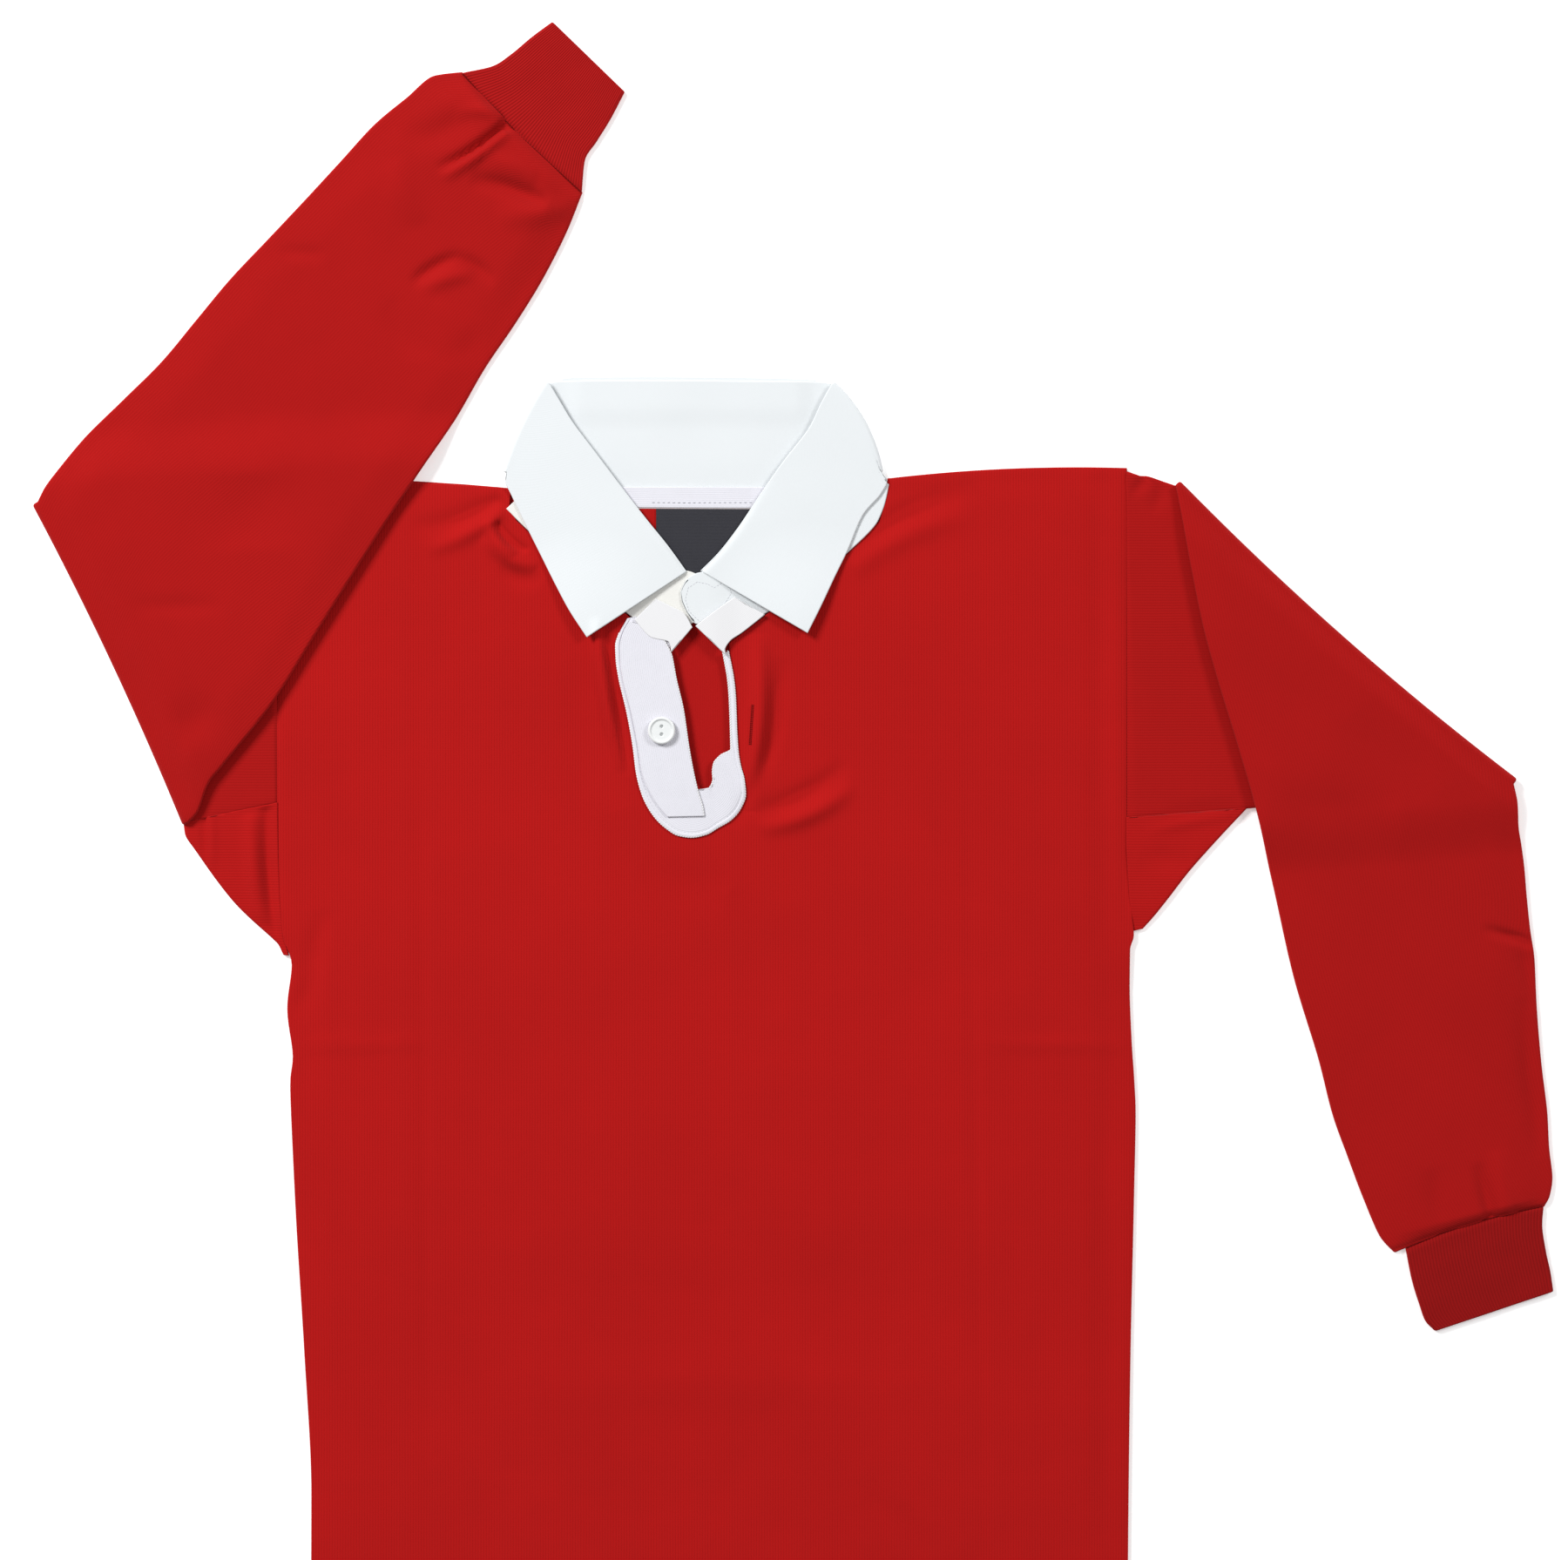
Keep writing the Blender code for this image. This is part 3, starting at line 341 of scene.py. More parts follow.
class ShirtCloth(bpy.types.PropertyGroup):
    """Lofts and pitches of the cloth."""

    sleeve_puff: length_property("Sleeve puff", "How far a folded sleeve swells", 0.0018)
    sleeve_lift: length_property("Sleeve lift", "How far its inner edge stands up", 0.0020)
    tip_lift: length_property("Tip lift", "How far the collar's points stand up", 0.0048)
    rib: length_property("Knit rib", "Pitch of the body's ribs", 0.0018)
    cuff_rib: length_property("Cuff rib", "Pitch of the cuffs' ribs", 0.00215)
    cord: length_property("Tape cord", "Pitch of the cords in the placket tape", 0.0013)
    picot: length_property("Picot", "Pitch of the loops along the placket's edges", 0.0017)
    stitch: length_property("Stitch", "Length of one stitch with its gap", 0.0034)
    creasing: number_property("Creasing", "Strength of all creases", 1.6, max=2.0)


class ShirtColours(bpy.types.PropertyGroup):
    """Colours of the cloths and the button."""

    knit: colour_property("Knit", "Body, sleeves and gussets", (0.455, 0.0062, 0.0058))
    rib: colour_property("Rib", "Cuffs", (0.385, 0.0058, 0.0058))
    drill: colour_property("Drill", "Collar", (0.75, 0.782, 0.80))
    stand: colour_property("Stand", "Inside of the collar stand", (0.80, 0.795, 0.76))
    twill: colour_property("Twill", "Placket tape", (0.755, 0.75, 0.81))
    tab: colour_property("Tab", "Ends of the tape at the neck", (0.785, 0.785, 0.80))
    label: colour_property("Label", "Neck label", (0.022, 0.022, 0.029))
    button: colour_property("Button", "Button", (0.80, 0.82, 0.82))


class ShirtStage(bpy.types.PropertyGroup):
    """Floor, lights and camera."""

    camera_height: length_property("Camera height", "Height of the camera over the table", 3.2)
    view_width: length_property("View width", "Width that the camera takes in at the cloth", 1.044)
    centre: bpy.props.FloatVectorProperty(
        name="Centre", description="Point under the camera", default=(0.0487, 0.1186), size=2,
        unit="LENGTH",
    )
    key_power: number_property("Key power", "Lamp beyond the right shoulder", 203.0, unit="POWER")
    second_power: number_property(
        "Second power", "Lamp beyond the left shoulder", 118.0, unit="POWER"
    )
    sky: number_property("Sky", "Even light from all round", 0.35)
    floor_glow: number_property("Floor glow", "Light that the table gives off by itself", 0.35)


# ---- shapes as numpy arrays ----


def smooth(t):
    """0 below 0, 1 above 1, and 3t^2 - 2t^3 between."""
    t = np.clip(t, 0.0, 1.0)
    return t * t * (3.0 - 2.0 * t)


def unit(vectors):
    """Vectors divided by their lengths."""
    return vectors / np.maximum(np.linalg.norm(vectors, axis=-1, keepdims=True), 1e-12)


def xy(flat):
    """The x and the y of flat points."""
    return flat[..., 0], flat[..., 1]


def evenly(count):
    """This many shares from 0 to 1, evenly apart."""
    return np.linspace(0, 1, count)


def left_of(vectors):
    """Vectors in plan, turned left by a right angle."""
    return np.stack([-vectors[..., 1], vectors[..., 0]], -1)


def steps(points):
    """Distances between each two points that follow each other."""
    return np.linalg.norm(np.diff(points, axis=0), axis=1)


def travelled(points):
    """Each point's distance from the first, along the points."""
    return np.concatenate([[0.0], np.cumsum(steps(points))])


def flowing(values, at):
    """Rows of a table at fractional row numbers: a cubic between each two rows, whose slope at a
    row is the harmonic mean of the steps before and after it, and 0 where they turn."""
    step = np.diff(values, axis=0)
    slope = np.zeros_like(values)
    same = step[1:] * step[:-1] > 0
    both = np.where(same, step[1:] + step[:-1], 1.0)
    slope[1:-1] = np.where(same, 2.0 * step[1:] * step[:-1] / both, 0.0)
    slope[0], slope[-1] = step[0], step[-1]
    i = np.clip(at.astype(int), 0, len(values) - 2)
    t = (at - i)[:, None]
    return (
        (1 + 2 * t) * (1 - t) ** 2 * values[i]
        + t * (1 - t) ** 2 * slope[i]
        + t * t * (3 - 2 * t) * values[i + 1]
        + t * t * (t - 1) * slope[i + 1]
    )


def straight(values, at):
    """Rows of a table at fractional row numbers, on straight lines between its rows."""
    i = np.clip(at.astype(int), 0, len(values) - 2)
    t = (at - i)[:, None]
    return values[i] * (1 - t) + values[i + 1] * t


def row_numbers(lengths, spacing, margin=0.0):
    """Fractional row numbers about this far apart, given the distances between a table's rows.
    Each table row has its number. A margin adds a number that far inside either end."""
    counts = np.maximum(1, np.ceil(lengths / spacing)).astype(int)
    at = np.concatenate([i + np.arange(n) / n for i, n in enumerate(counts)] + [[len(lengths)]])
    if margin:
        inside = margin / lengths[0], at[-1] - margin / lengths[-1]
        at = np.insert(at, [1, len(at) - 1], inside)
    return at


def table_lengths(table):
    """The longer of the two edges' distances between each two rows."""
    table = np.array(table)
    return np.maximum(steps(table[:, 0:2]), steps(table[:, 2:4]))


def margined(shares, widths, margin):
    """Shares across each row: 0, these shares moved to start and end a margin inside, and 1."""
    inside = np.minimum(margin / widths, 0.4)[:, None]
    ends = np.zeros_like(inside)
    return np.concatenate([ends, inside + (1 - 2 * inside) * shares[None], ends + 1], 1)


def bowed(start, end, shares, bow):
    """Points at shares of the lines from start to end, moved sideways by bow times 4s(1 - s)."""
    run = end - start
    side = unit(left_of(run)) * bow[:, None]
    s = shares[..., None]
    return start[:, None] + run[:, None] * s + side[:, None] * 4 * s * (1 - s)


def spread(table, shares, spacing, margin):
    """Flat points between the edge lines of a table of spans, with a margin inside all round."""
    table = np.array(table)
    at = row_numbers(table_lengths(table), spacing, margin)
    first, second = flowing(table[:, 0:2], at), flowing(table[:, 2:4], at)
    across = margined(shares, np.linalg.norm(second - first, axis=1), margin)
    return bowed(first, second, across, straight(table[:, 4:5], at)[:, 0])


def crease_height(x, y, folds, strength):
    """Sum of the creases' heights. Across a crease the height is a bell, exp(-(w/width)^2). Along
    it the height rises and falls as a sine, or falls as a cosine from the start's own share."""
    total = np.zeros_like(x)
    for c in folds:
        run = np.array([c.x1 - c.x0, c.y1 - c.y0])
        length = np.linalg.norm(run)
        run = run / length
        s = ((x - c.x0) * run[0] + (y - c.y0) * run[1]) / length
        inside = np.clip(s, 0.0, 1.0)
        w = (y - c.y0) * run[0] - (x - c.x0) * run[1] - c.bow * 4 * inside * (1 - inside)
        swell = np.sin(math.pi * inside) ** 0.8
        fall = np.maximum(np.cos(math.pi / 2 * inside), 0) ** 0.8 * smooth(1 + s * length / c.width)
        along = swell * (1 - c.start) + fall * c.start
        total += c.height * along * np.exp(-((w / c.width) ** 2))
    return total * strength


def seam_groove(distance, depth):
    """The trough beside a seam: minus the depth times a bell, exp(-(d/2.2)^2)."""
    return -depth * np.exp(-((distance / 2.2) ** 2))


def unevenness(x, y, size, seed):
    """Soft unevenness between -1 and 1: the mean of five sine waves in turning directions."""
    total = np.zeros_like(x)
    for k in range(5):
        angle = seed * 1.7 + k * 2.399
        wave = size * (0.7 + 0.23 * k)
        travel = x * math.cos(angle) + y * math.sin(angle)
        total += np.sin(2 * math.pi * travel / wave + seed * (k + 1))
    return total / 5


def line_distance(x, y, line):
    """Distance from each point to an open line of points."""
    nearest = np.full(x.shape, 1e9)
    for (ax, ay), (bx, by) in zip(line[:-1], line[1:]):
        rx, ry = bx - ax, by - ay
        s = np.clip(((x - ax) * rx + (y - ay) * ry) / (rx * rx + ry * ry), 0.0, 1.0)
        nearest = np.minimum(nearest, np.hypot(x - ax - s * rx, y - ay - s * ry))
    return nearest


def free_edges():
    """The body's edges where front and back meet: below the underarms and at the shoulders."""
    edges = []
    for half in (FRONT_RIGHT, FRONT_LEFT):
        side = [(row.x0, row.y0) for row in half if row.y0 < 0.0]
        edges.append([(half[0].x1, half[0].y1)] + side)
        top = np.array(half[-1:])
        edges.append(bowed(top[:, 0:2], top[:, 2:4], evenly(9)[None], top[:, 4])[0])
    return edges


def front_relief(x, y, cloth):
    """Creases and unevenness of the front, flatter at the armholes and under the right sleeve."""
    relief = crease_height(x, y, FRONT_CREASES, cloth.creasing)
    relief += 0.45 * unevenness(x, y, 150.0, 1.0) + 0.16 * unevenness(x, y, 46.0, 2.0)
    armhole = np.minimum(np.abs(x - ARMHOLE_RIGHT_X), np.abs(x - ARMHOLE_LEFT_X))
    sewn = smooth((y - 60.0) / 40.0) * (1 - smooth(armhole / 16.0))
    under_sleeve = smooth((-200.0 - x) / 30.0) * smooth((y - 110.0) / 20.0)
    relief = np.maximum(relief * (1 - 0.85 * sewn) * (1 - 0.8 * under_sleeve), DEEPEST)
    return relief + seam_groove(armhole, 1.0) * smooth((y - 10.0) / 30.0)


def front_height(x, y, cloth):
    """Height of the middle of the front's wall: low at the free edges, where it rolls down like
    a quarter ellipse, and lofted inside, with the relief fading out at the edges."""
    distance = np.min([line_distance(x, y, line) for line in free_edges()], axis=0)
    roll = np.sqrt(np.clip(1 - (1 - np.clip(distance / 5.0, 0, 1)) ** 2, 0, 1))
    inside = 0.65 * smooth(distance / RIM) + 0.35 * roll
    relief = front_relief(x, y, cloth) * smooth(distance / 10.0)
    return FRONT_LOW + WALL / 2 + LOFT * inside + relief


# ---- meshes ----


def grid_faces(numbers):
    """Faces between a grid of vertex numbers."""
    corners = numbers[:-1, :-1], numbers[:-1, 1:], numbers[1:, 1:], numbers[1:, :-1]
    return np.stack(corners, -1).reshape(-1, 4)


def quads(rows, columns, start=0, closed=False):
    """Faces of a grid whose vertices are numbered row by row from start."""
    numbers = start + np.arange(rows * columns).reshape(rows, columns)
    return grid_faces(np.hstack([numbers, numbers[:, :1]]) if closed else numbers)


def strips(first, second):
    """Faces between two closed loops of vertex numbers."""
    return np.stack([first, np.roll(first, -1), np.roll(second, -1), second], -1)


def add_object(name, data):
    """A new object at the origin, in the scene."""
    made = bpy.data.objects.new(name, data)
    bpy.context.scene.collection.objects.link(made)
    return made


def new_piece(name, points, faces, corner_uvs, finishes, finish_numbers=None):
    """A mesh object from points in millimetres, with the cloth's own millimetres at each corner.
    All faces are turned if the volume that they close comes out negative."""
    a, b, c, d = (points[faces[:, k]] for k in range(4))
    volume = (a * (np.cross(b, c) + np.cross(c, d))).sum()
    if volume < 0:
        faces, corner_uvs = faces[:, ::-1], corner_uvs[:, ::-1]
    mesh = bpy.data.meshes.new(name)
    mesh.from_pydata((points * MM).tolist(), [], faces.tolist())
    layer = mesh.uv_layers.new(name="Cloth")
    layer.data.foreach_set("uv", (corner_uvs * MM).astype(np.float32).ravel())
    mesh.shade_smooth()
    for finish in finishes:
        mesh.materials.append(finish)
    if finish_numbers is not None:
        mesh.polygons.foreach_set("material_index", finish_numbers.astype(np.int32))
    mesh.update()
    if mesh.validate():
        raise RuntimeError(f"{name} has faces that had to be repaired")
    return add_object(name, mesh)


def point_normals(points, faces):
    """Unit normals at points: the sum of the faces' normals there."""
    a, b, c, d = (points[faces[:, k]] for k in range(4))
    facing = np.cross(c - a, d - b)
    total = np.zeros_like(points)
    for k in range(4):
        np.add.at(total, faces[:, k], facing)
    return unit(total)


def shell(name, middle, uv, faces, ring, thickness, finishes):
    """Cloth with a rounded edge: the middle surface moved half the thickness along its normals to
    each side, and a half circle round its edge loop. A second finish is for its underside."""
    half = np.broadcast_to(np.asarray(thickness, float) / 2, len(middle))[:, None]
    normal = point_normals(middle, faces)
    edge, edge_normal = middle[ring], normal[ring]
    tangent = unit(np.roll(edge, -1, 0) - edge) + unit(edge - np.roll(edge, 1, 0))
    outward = unit(np.cross(tangent, edge_normal))
    core = middle.copy()
    core[ring] = edge - outward * half[ring]
    parts, uvs, loops = [core + normal * half, core - normal * half], [uv, uv], [ring]
    for degrees in (45, 0, -45):
        angle = math.radians(degrees)
        bend = outward * math.cos(angle) + edge_normal * math.sin(angle)
        loops.append(sum(map(len, parts)) + np.arange(len(ring)))
        parts.append(core[ring] + bend * half[ring])
        uvs.append(uv[ring])
    loops.append(ring + len(middle))
    sides = [strips(upper, lower)[:, ::-1] for upper, lower in zip(loops[:-1], loops[1:])]
    everything = np.concatenate([faces, faces[:, ::-1] + len(middle), *sides])
    numbers = np.zeros(len(everything))
    if len(finishes) > 1:
        numbers[len(faces):2 * len(faces)] = 1
    uvs = np.concatenate(uvs)
    return new_piece(name, np.concatenate(parts), everything, uvs[everything], finishes, numbers)


def grid_ring(rows, columns):
    """The edge loop of a grid, in the direction of its faces."""
    return np.concatenate([
        np.arange(columns),
        np.arange(1, rows) * columns + columns - 1,
        (rows - 1) * columns + np.arange(columns - 2, -1, -1),
        np.arange(rows - 2, 0, -1) * columns,
    ])


def grid_shell(name, flat, height, thickness, finishes, uv=None):
    """A shell on a grid of flat points and their heights."""
    rows, columns = flat.shape[:2]
    z = np.broadcast_to(height, flat.shape[:2])[..., None]
    middle = np.concatenate([flat, z], -1).reshape(-1, 3)
    cloth_uv = (flat if uv is None else uv).reshape(-1, 2)
    faces, ring = quads(rows, columns), grid_ring(rows, columns)
    return shell(name, middle, cloth_uv, faces, ring, thickness, finishes)


def strip_uv(flat):
    """u across the rows and v along their middles."""
    across = np.linalg.norm(np.diff(flat, axis=1), axis=2)
    u = np.concatenate([np.zeros((len(flat), 1)), np.cumsum(across, axis=1)], 1)
    v = travelled(flat.mean(1))
    return np.stack([u, np.broadcast_to(v[:, None], u.shape)], -1)


def flat_area(flat):
    """Area of a grid of flat points, in square metres."""
    first = flat[1:, 1:] - flat[:-1, :-1]
    second = flat[1:, :-1] - flat[:-1, 1:]
    cross = first[..., 0] * second[..., 1] - first[..., 1] * second[..., 0]
    return float(np.abs(cross).sum() / 2 * MM * MM)


def metres(*lengths):
    """Millimetres as plain numbers in metres."""
    return tuple(float(length * MM) for length in lengths)


# ---- shaders ----


class Wire:
    """A shader value. Arithmetic on it adds Math nodes."""

    def __init__(self, finish, socket):
        self.finish, self.socket = finish, socket

    def _math(self, operation, *others, swapped=False):
        """A Math node on this value and others, or with this one last."""
        values = (*others, self) if swapped else (self, *others)
        return self.finish.node("ShaderNodeMath", {"operation": operation}, dict(enumerate(values)))

    __add__ = partialmethod(_math, "ADD")
    __radd__ = partialmethod(_math, "ADD", swapped=True)
    __sub__ = partialmethod(_math, "SUBTRACT")
    __rsub__ = partialmethod(_math, "SUBTRACT", swapped=True)
    __mul__ = partialmethod(_math, "MULTIPLY")
    __rmul__ = partialmethod(_math, "MULTIPLY", swapped=True)
    __truediv__ = partialmethod(_math, "DIVIDE")
    __pow__ = partialmethod(_math, "POWER")
    sine = partialmethod(_math, "SINE")
    fraction = partialmethod(_math, "FRACT")
    whole = partialmethod(_math, "FLOOR")
    size = partialmethod(_math, "ABSOLUTE")

    def between(self):
        """The value, held between 0 and 1."""
        return self._math("MAXIMUM", 0.0)._math("MINIMUM", 1.0)

    def hump(self):
        """0 at whole numbers and 1 half way between, as a sine."""
        return (self.fraction() * math.pi).sine()


def times(colour, factor):
    """A colour, lighter or darker."""
    return tuple(c * factor for c in colour)


class Finish:
    """A material in the making: its nodes come from node(), and its maths from Wire."""

    def __init__(self, name, colour, roughness, **constants):
        self.material = bpy.data.materials.new(name)
        self.material.use_nodes = True
        self.tree = self.material.node_tree
        self.shader = self.tree.nodes["Principled BSDF"]
        self.shader.inputs["Base Color"].default_value = (*colour, 1.0)
        self.shader.inputs["Roughness"].default_value = roughness
        self.material.diffuse_color = (*colour, 1.0)
        for socket, value in constants.items():
            self.shader.inputs[socket.replace("_", " ")].default_value = value

    def node(self, kind, settings=None, inputs=None, output=0):
        """A node of this kind with its settings made first, then its sockets' values or links."""
        made = self.tree.nodes.new(kind)
        for key, value in (settings or {}).items():
            setattr(made, key, value)
        for key, value in (inputs or {}).items():
            self.feed(made.inputs[key], value)
        return Wire(self, made.outputs[output])

    def feed(self, socket, value):
        """Sets a socket to a plain value, or links it to a shader value."""
        if isinstance(value, Wire):
            self.tree.links.new(value.socket, socket)
        else:
            socket.default_value = value

    def cloth_uv(self):
        """Across and along the cloth, in metres."""
        vector = self.node("ShaderNodeUVMap", {"uv_map": "Cloth"})
        return [self.node("ShaderNodeSeparateXYZ", {}, {0: vector}, output=k) for k in (0, 1)]

    def place(self):
        """Object coordinates, in metres."""
        return self.node("ShaderNodeTexCoord", output="Object")

    def noise(self, vector, scale, detail=2.0, roughness=0.5):
        """Noise with this many features to the metre."""
        values = {"Vector": vector, "Scale": scale, "Detail": detail, "Roughness": roughness}
        return self.node("ShaderNodeTexNoise", {}, values)

    def mix(self, factor, first, second):
        """A colour between two colours."""
        ends = {k: c if isinstance(c, Wire) else (*c, 1.0) for k, c in ((6, first), (7, second))}
        return self.node("ShaderNodeMix", {"data_type": "RGBA"}, {0: factor, **ends}, output=2)

    def done(self, colour, height=None, distance=None, roughness=None):
        """The material, with this colour, and with relief from a height between 0 and 1 that is
        this many metres high, and this roughness, where they are given."""
        self.feed(self.shader.inputs["Base Color"], colour)
        if height is not None:
            bump = self.node("ShaderNodeBump", {}, {"Height": height, "Distance": distance})
            self.feed(self.shader.inputs["Normal"], bump)
        if roughness is not None:
            self.feed(self.shader.inputs["Roughness"], roughness)
        return self.material


def knit_finish(name, colour, pitch, depth, contrast, wander):
    """Rib knit: round ribs with painted shade in the narrow grooves between them and between the
    loops, each rib a chain of slanted loops, on a base that varies softly as dyed cotton does. The
    ribs wander by this share."""
    finish = Finish(
        name, colour, 0.92, Sheen_Weight=0.03, Sheen_Roughness=0.5, Specular_IOR_Level=0.12
    )
    u, v = finish.cloth_uv()
    place = finish.place()
    across = (u / pitch + (finish.noise(place, 55.0) - 0.5) * wander).fraction()
    rib = (across * math.pi).sine()
    groove = 1 - rib ** 0.7
    loops = (v / (pitch * 0.62) + (across - 0.5).size() * 0.9).hump()
    fuzz = finish.noise(place, 2600.0, 2.0, 0.7)
    mottle = finish.noise(place, 9.0, 3.0, 0.6)
    groove_shade_strength = finish.noise(place, 70.0, 3.0, 0.6)
    # Painted shade: the colour darkens in the rib grooves and between the loops, plus a little
    # random fuzz; the noise varies the groove shade's strength.
    painted_shade_and_fuzz = (groove * contrast * (0.5 + groove_shade_strength) + (1 - loops) * 0.10 + fuzz * 0.16 - 0.08).between()
    base = finish.mix(((mottle - 0.35) * 1.6).between(), times(colour, 0.94), times(colour, 1.05))
    relief = rib ** 0.6 * 0.75 + loops * rib * 0.25 + fuzz * 0.12
    return finish.done(finish.mix(painted_shade_and_fuzz, base, times(colour, 0.42)), relief, depth)


# Pitches of the weaves, and the depths of their relief, in metres.
TWILL_LINE, DRILL_YARN, TAPE_PICK, LABEL_PICK, LABEL_END = 0.0011, 0.0007, 0.00085, 0.0006, 0.0008
THREAD_TWIST = 0.0005
FINE_RELIEF, TAPE_RELIEF, LABEL_RELIEF = 0.00006, 0.00010, 0.00012


def drill_finish(name, colour, twill_slope=1.0):
    """Cotton drill: fine slanted twill lines over plain yarns."""
    finish = Finish(name, colour, 0.88, Sheen_Weight=0.05, Specular_IOR_Level=0.25)
    u, v = finish.cloth_uv()
    place = finish.place()
    line = ((u + v * twill_slope) / TWILL_LINE).hump()
    yarn = (v / DRILL_YARN).hump()
    fuzz = finish.noise(place, 2200.0, 2.0, 0.6)
    mottle = finish.noise(place, 22.0)
    shade = ((1 - line) * 0.35 + (1 - yarn) * 0.12 + fuzz * 0.2).between()
    base = finish.mix(mottle, times(colour, 0.985), times(colour, 1.015))
    relief = line * 0.5 + yarn * 0.2 + fuzz * 0.3
    return finish.done(finish.mix(shade, base, times(colour, 0.94)), relief, FINE_RELIEF)


def tape_finish(name, colour, cord):
    """Twill tape: cords that run along it, of slightly uneven depth, with fine picks across."""
    finish = Finish(name, colour, 0.9, Sheen_Weight=0.05, Specular_IOR_Level=0.25)
    u, v = finish.cloth_uv()
    place = finish.place()
    wander = finish.noise(place, 90.0)
    line = (u / cord + wander * 0.3).hump()
    pick = (v / TAPE_PICK + (u / cord).whole() * 0.5).hump()
    uneven = finish.noise(place, 130.0)
    shade = ((1 - line ** 0.6) * uneven * 0.9 + (1 - pick) * 0.12).between()
    relief = line ** 0.7 * 0.8 + pick * 0.2
    return finish.done(finish.mix(shade, colour, times(colour, 0.80)), relief, TAPE_RELIEF)


def label_finish(name, colour):
    """Woven satin label: charcoal, with a painted highlight on the fine picks and painted shade on
    the ground between them.
    """
    finish = Finish(name, colour, 0.7, Sheen_Weight=0.04, Specular_IOR_Level=0.3)
    u, v = finish.cloth_uv()
    pick = (v / LABEL_PICK).hump()
    end = (u / LABEL_END).hump()
    # Painted highlight on the picks and painted shade on the ground between them.
    picks_highlight_and_shade = finish.mix((pick * 0.6 + end * 0.3).between(), times(colour, 0.8), times(colour, 1.35))
    return finish.done(picks_highlight_and_shade, pick * 0.6 + end * 0.4, LABEL_RELIEF)


def plastic_finish(name, colour):
    """Moulded plastic with a soft gloss and the faintest cloudiness."""
    finish = Finish(name, colour, 0.28, Specular_IOR_Level=0.5, Coat_Weight=0.15)
    cloud = finish.noise(finish.place(), 400.0)
    clouded = finish.mix(cloud, times(colour, 0.97), times(colour, 1.03))
    return finish.done(clouded, roughness=0.24 + cloud * 0.1)


def thread_finish(name, colour):
    """Twisted sewing thread, with painted shade between its twists."""
    finish = Finish(name, colour, 0.8, Specular_IOR_Level=0.1)
    u, v = finish.cloth_uv()
    twist = ((u + v) / THREAD_TWIST).hump()
    return finish.done(finish.mix(twist, times(colour, 0.82), colour), twist, FINE_RELIEF)


def floor_finish(name, glow):
    """A plain pale table top, lit a little from within, with the faintest mottling."""
    finish = Finish(name, (0.93, 0.93, 0.93), 0.8, Emission_Strength=glow)
    finish.shader.inputs["Emission Color"].default_value = (1.0, 1.0, 1.0, 1.0)
    cloud = finish.noise(finish.place(), 3.0)
    return finish.done(finish.mix(cloud, (0.92, 0.92, 0.92), (0.94, 0.94, 0.94)))


WHITE_THREAD = (0.58, 0.58, 0.63)
INSIDE_RIB = 0.0011
MATERIALS = {}


def material(kind):
    """The material of that kind, made when it is first asked for."""
    if kind not in MATERIALS:
        cloth = bpy.context.scene.shirt_cloth
        colours = bpy.context.scene.shirt_colours
        knit, rib, pitch, cuff_pitch = colours.knit, colours.rib, cloth.rib, cloth.cuff_rib
        recipes = {
            "knit": (knit_finish, "red_knit", knit, pitch, 0.00012, 0.24, 0.35),
            # The sleeves' knit is a darker copy of the body's, painted as shade.
            "sleeve": (knit_finish, "red_knit_sleeve", times(knit, 0.88), pitch, 0.0001, 0.19, 0.4),
            "inside": (
                knit_finish, "red_knit_inside", times(knit, 0.92), INSIDE_RIB, 0.0001, 0.08, 0.3,
            ),
            "rib right": (knit_finish, "red_rib_right", rib, cuff_pitch, 0.00014, 0.42, 0.0),
            # The left cuff's rib is a darker copy of the right one's, painted as shade.
            "rib left": (
                knit_finish, "red_rib_left", times(rib, 0.8), cuff_pitch, 0.00014, 0.42, 0.0,
            ),
            "drill": (drill_finish, "white_drill", colours.drill),
            "stand": (drill_finish, "ivory_drill", colours.stand, 0.0),
            "tab": (drill_finish, "white_tab", colours.tab, 0.0),
            "tape": (tape_finish, "white_twill", colours.twill, cloth.cord),
            "label": (label_finish, "charcoal_weave", colours.label),
            "button": (plastic_finish, "white_button", colours.button),
            "white thread": (thread_finish, "white_thread", WHITE_THREAD),
            # Dark red thread for the buttonhole, also used for the painted shade lines along the
            # seams.
            "red thread": (thread_finish, "red_thread", times(knit, 0.33)),
        }
        maker, *values = recipes[kind]
        MATERIALS[kind] = maker(*values)
    return MATERIALS[kind]


def settle(piece, slot, *nodes):
    """The piece rides on the shirt and stands for these solids, whose parts are hidden. The slot is
    not used.
    """
    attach(piece, ROOT)
    if nodes:
        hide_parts(*nodes)


def lay(name, flat, height, thickness, finish, slot, *nodes, size=None, **laid):
    """A flat piece on a grid of points, on the shirt. The keywords that say how it is laid are not
    used.
    """
    piece = grid_shell(name, flat, height, thickness, [material(finish)], strip_uv(flat))
    settle(piece, slot, *nodes)


# ---- body ----


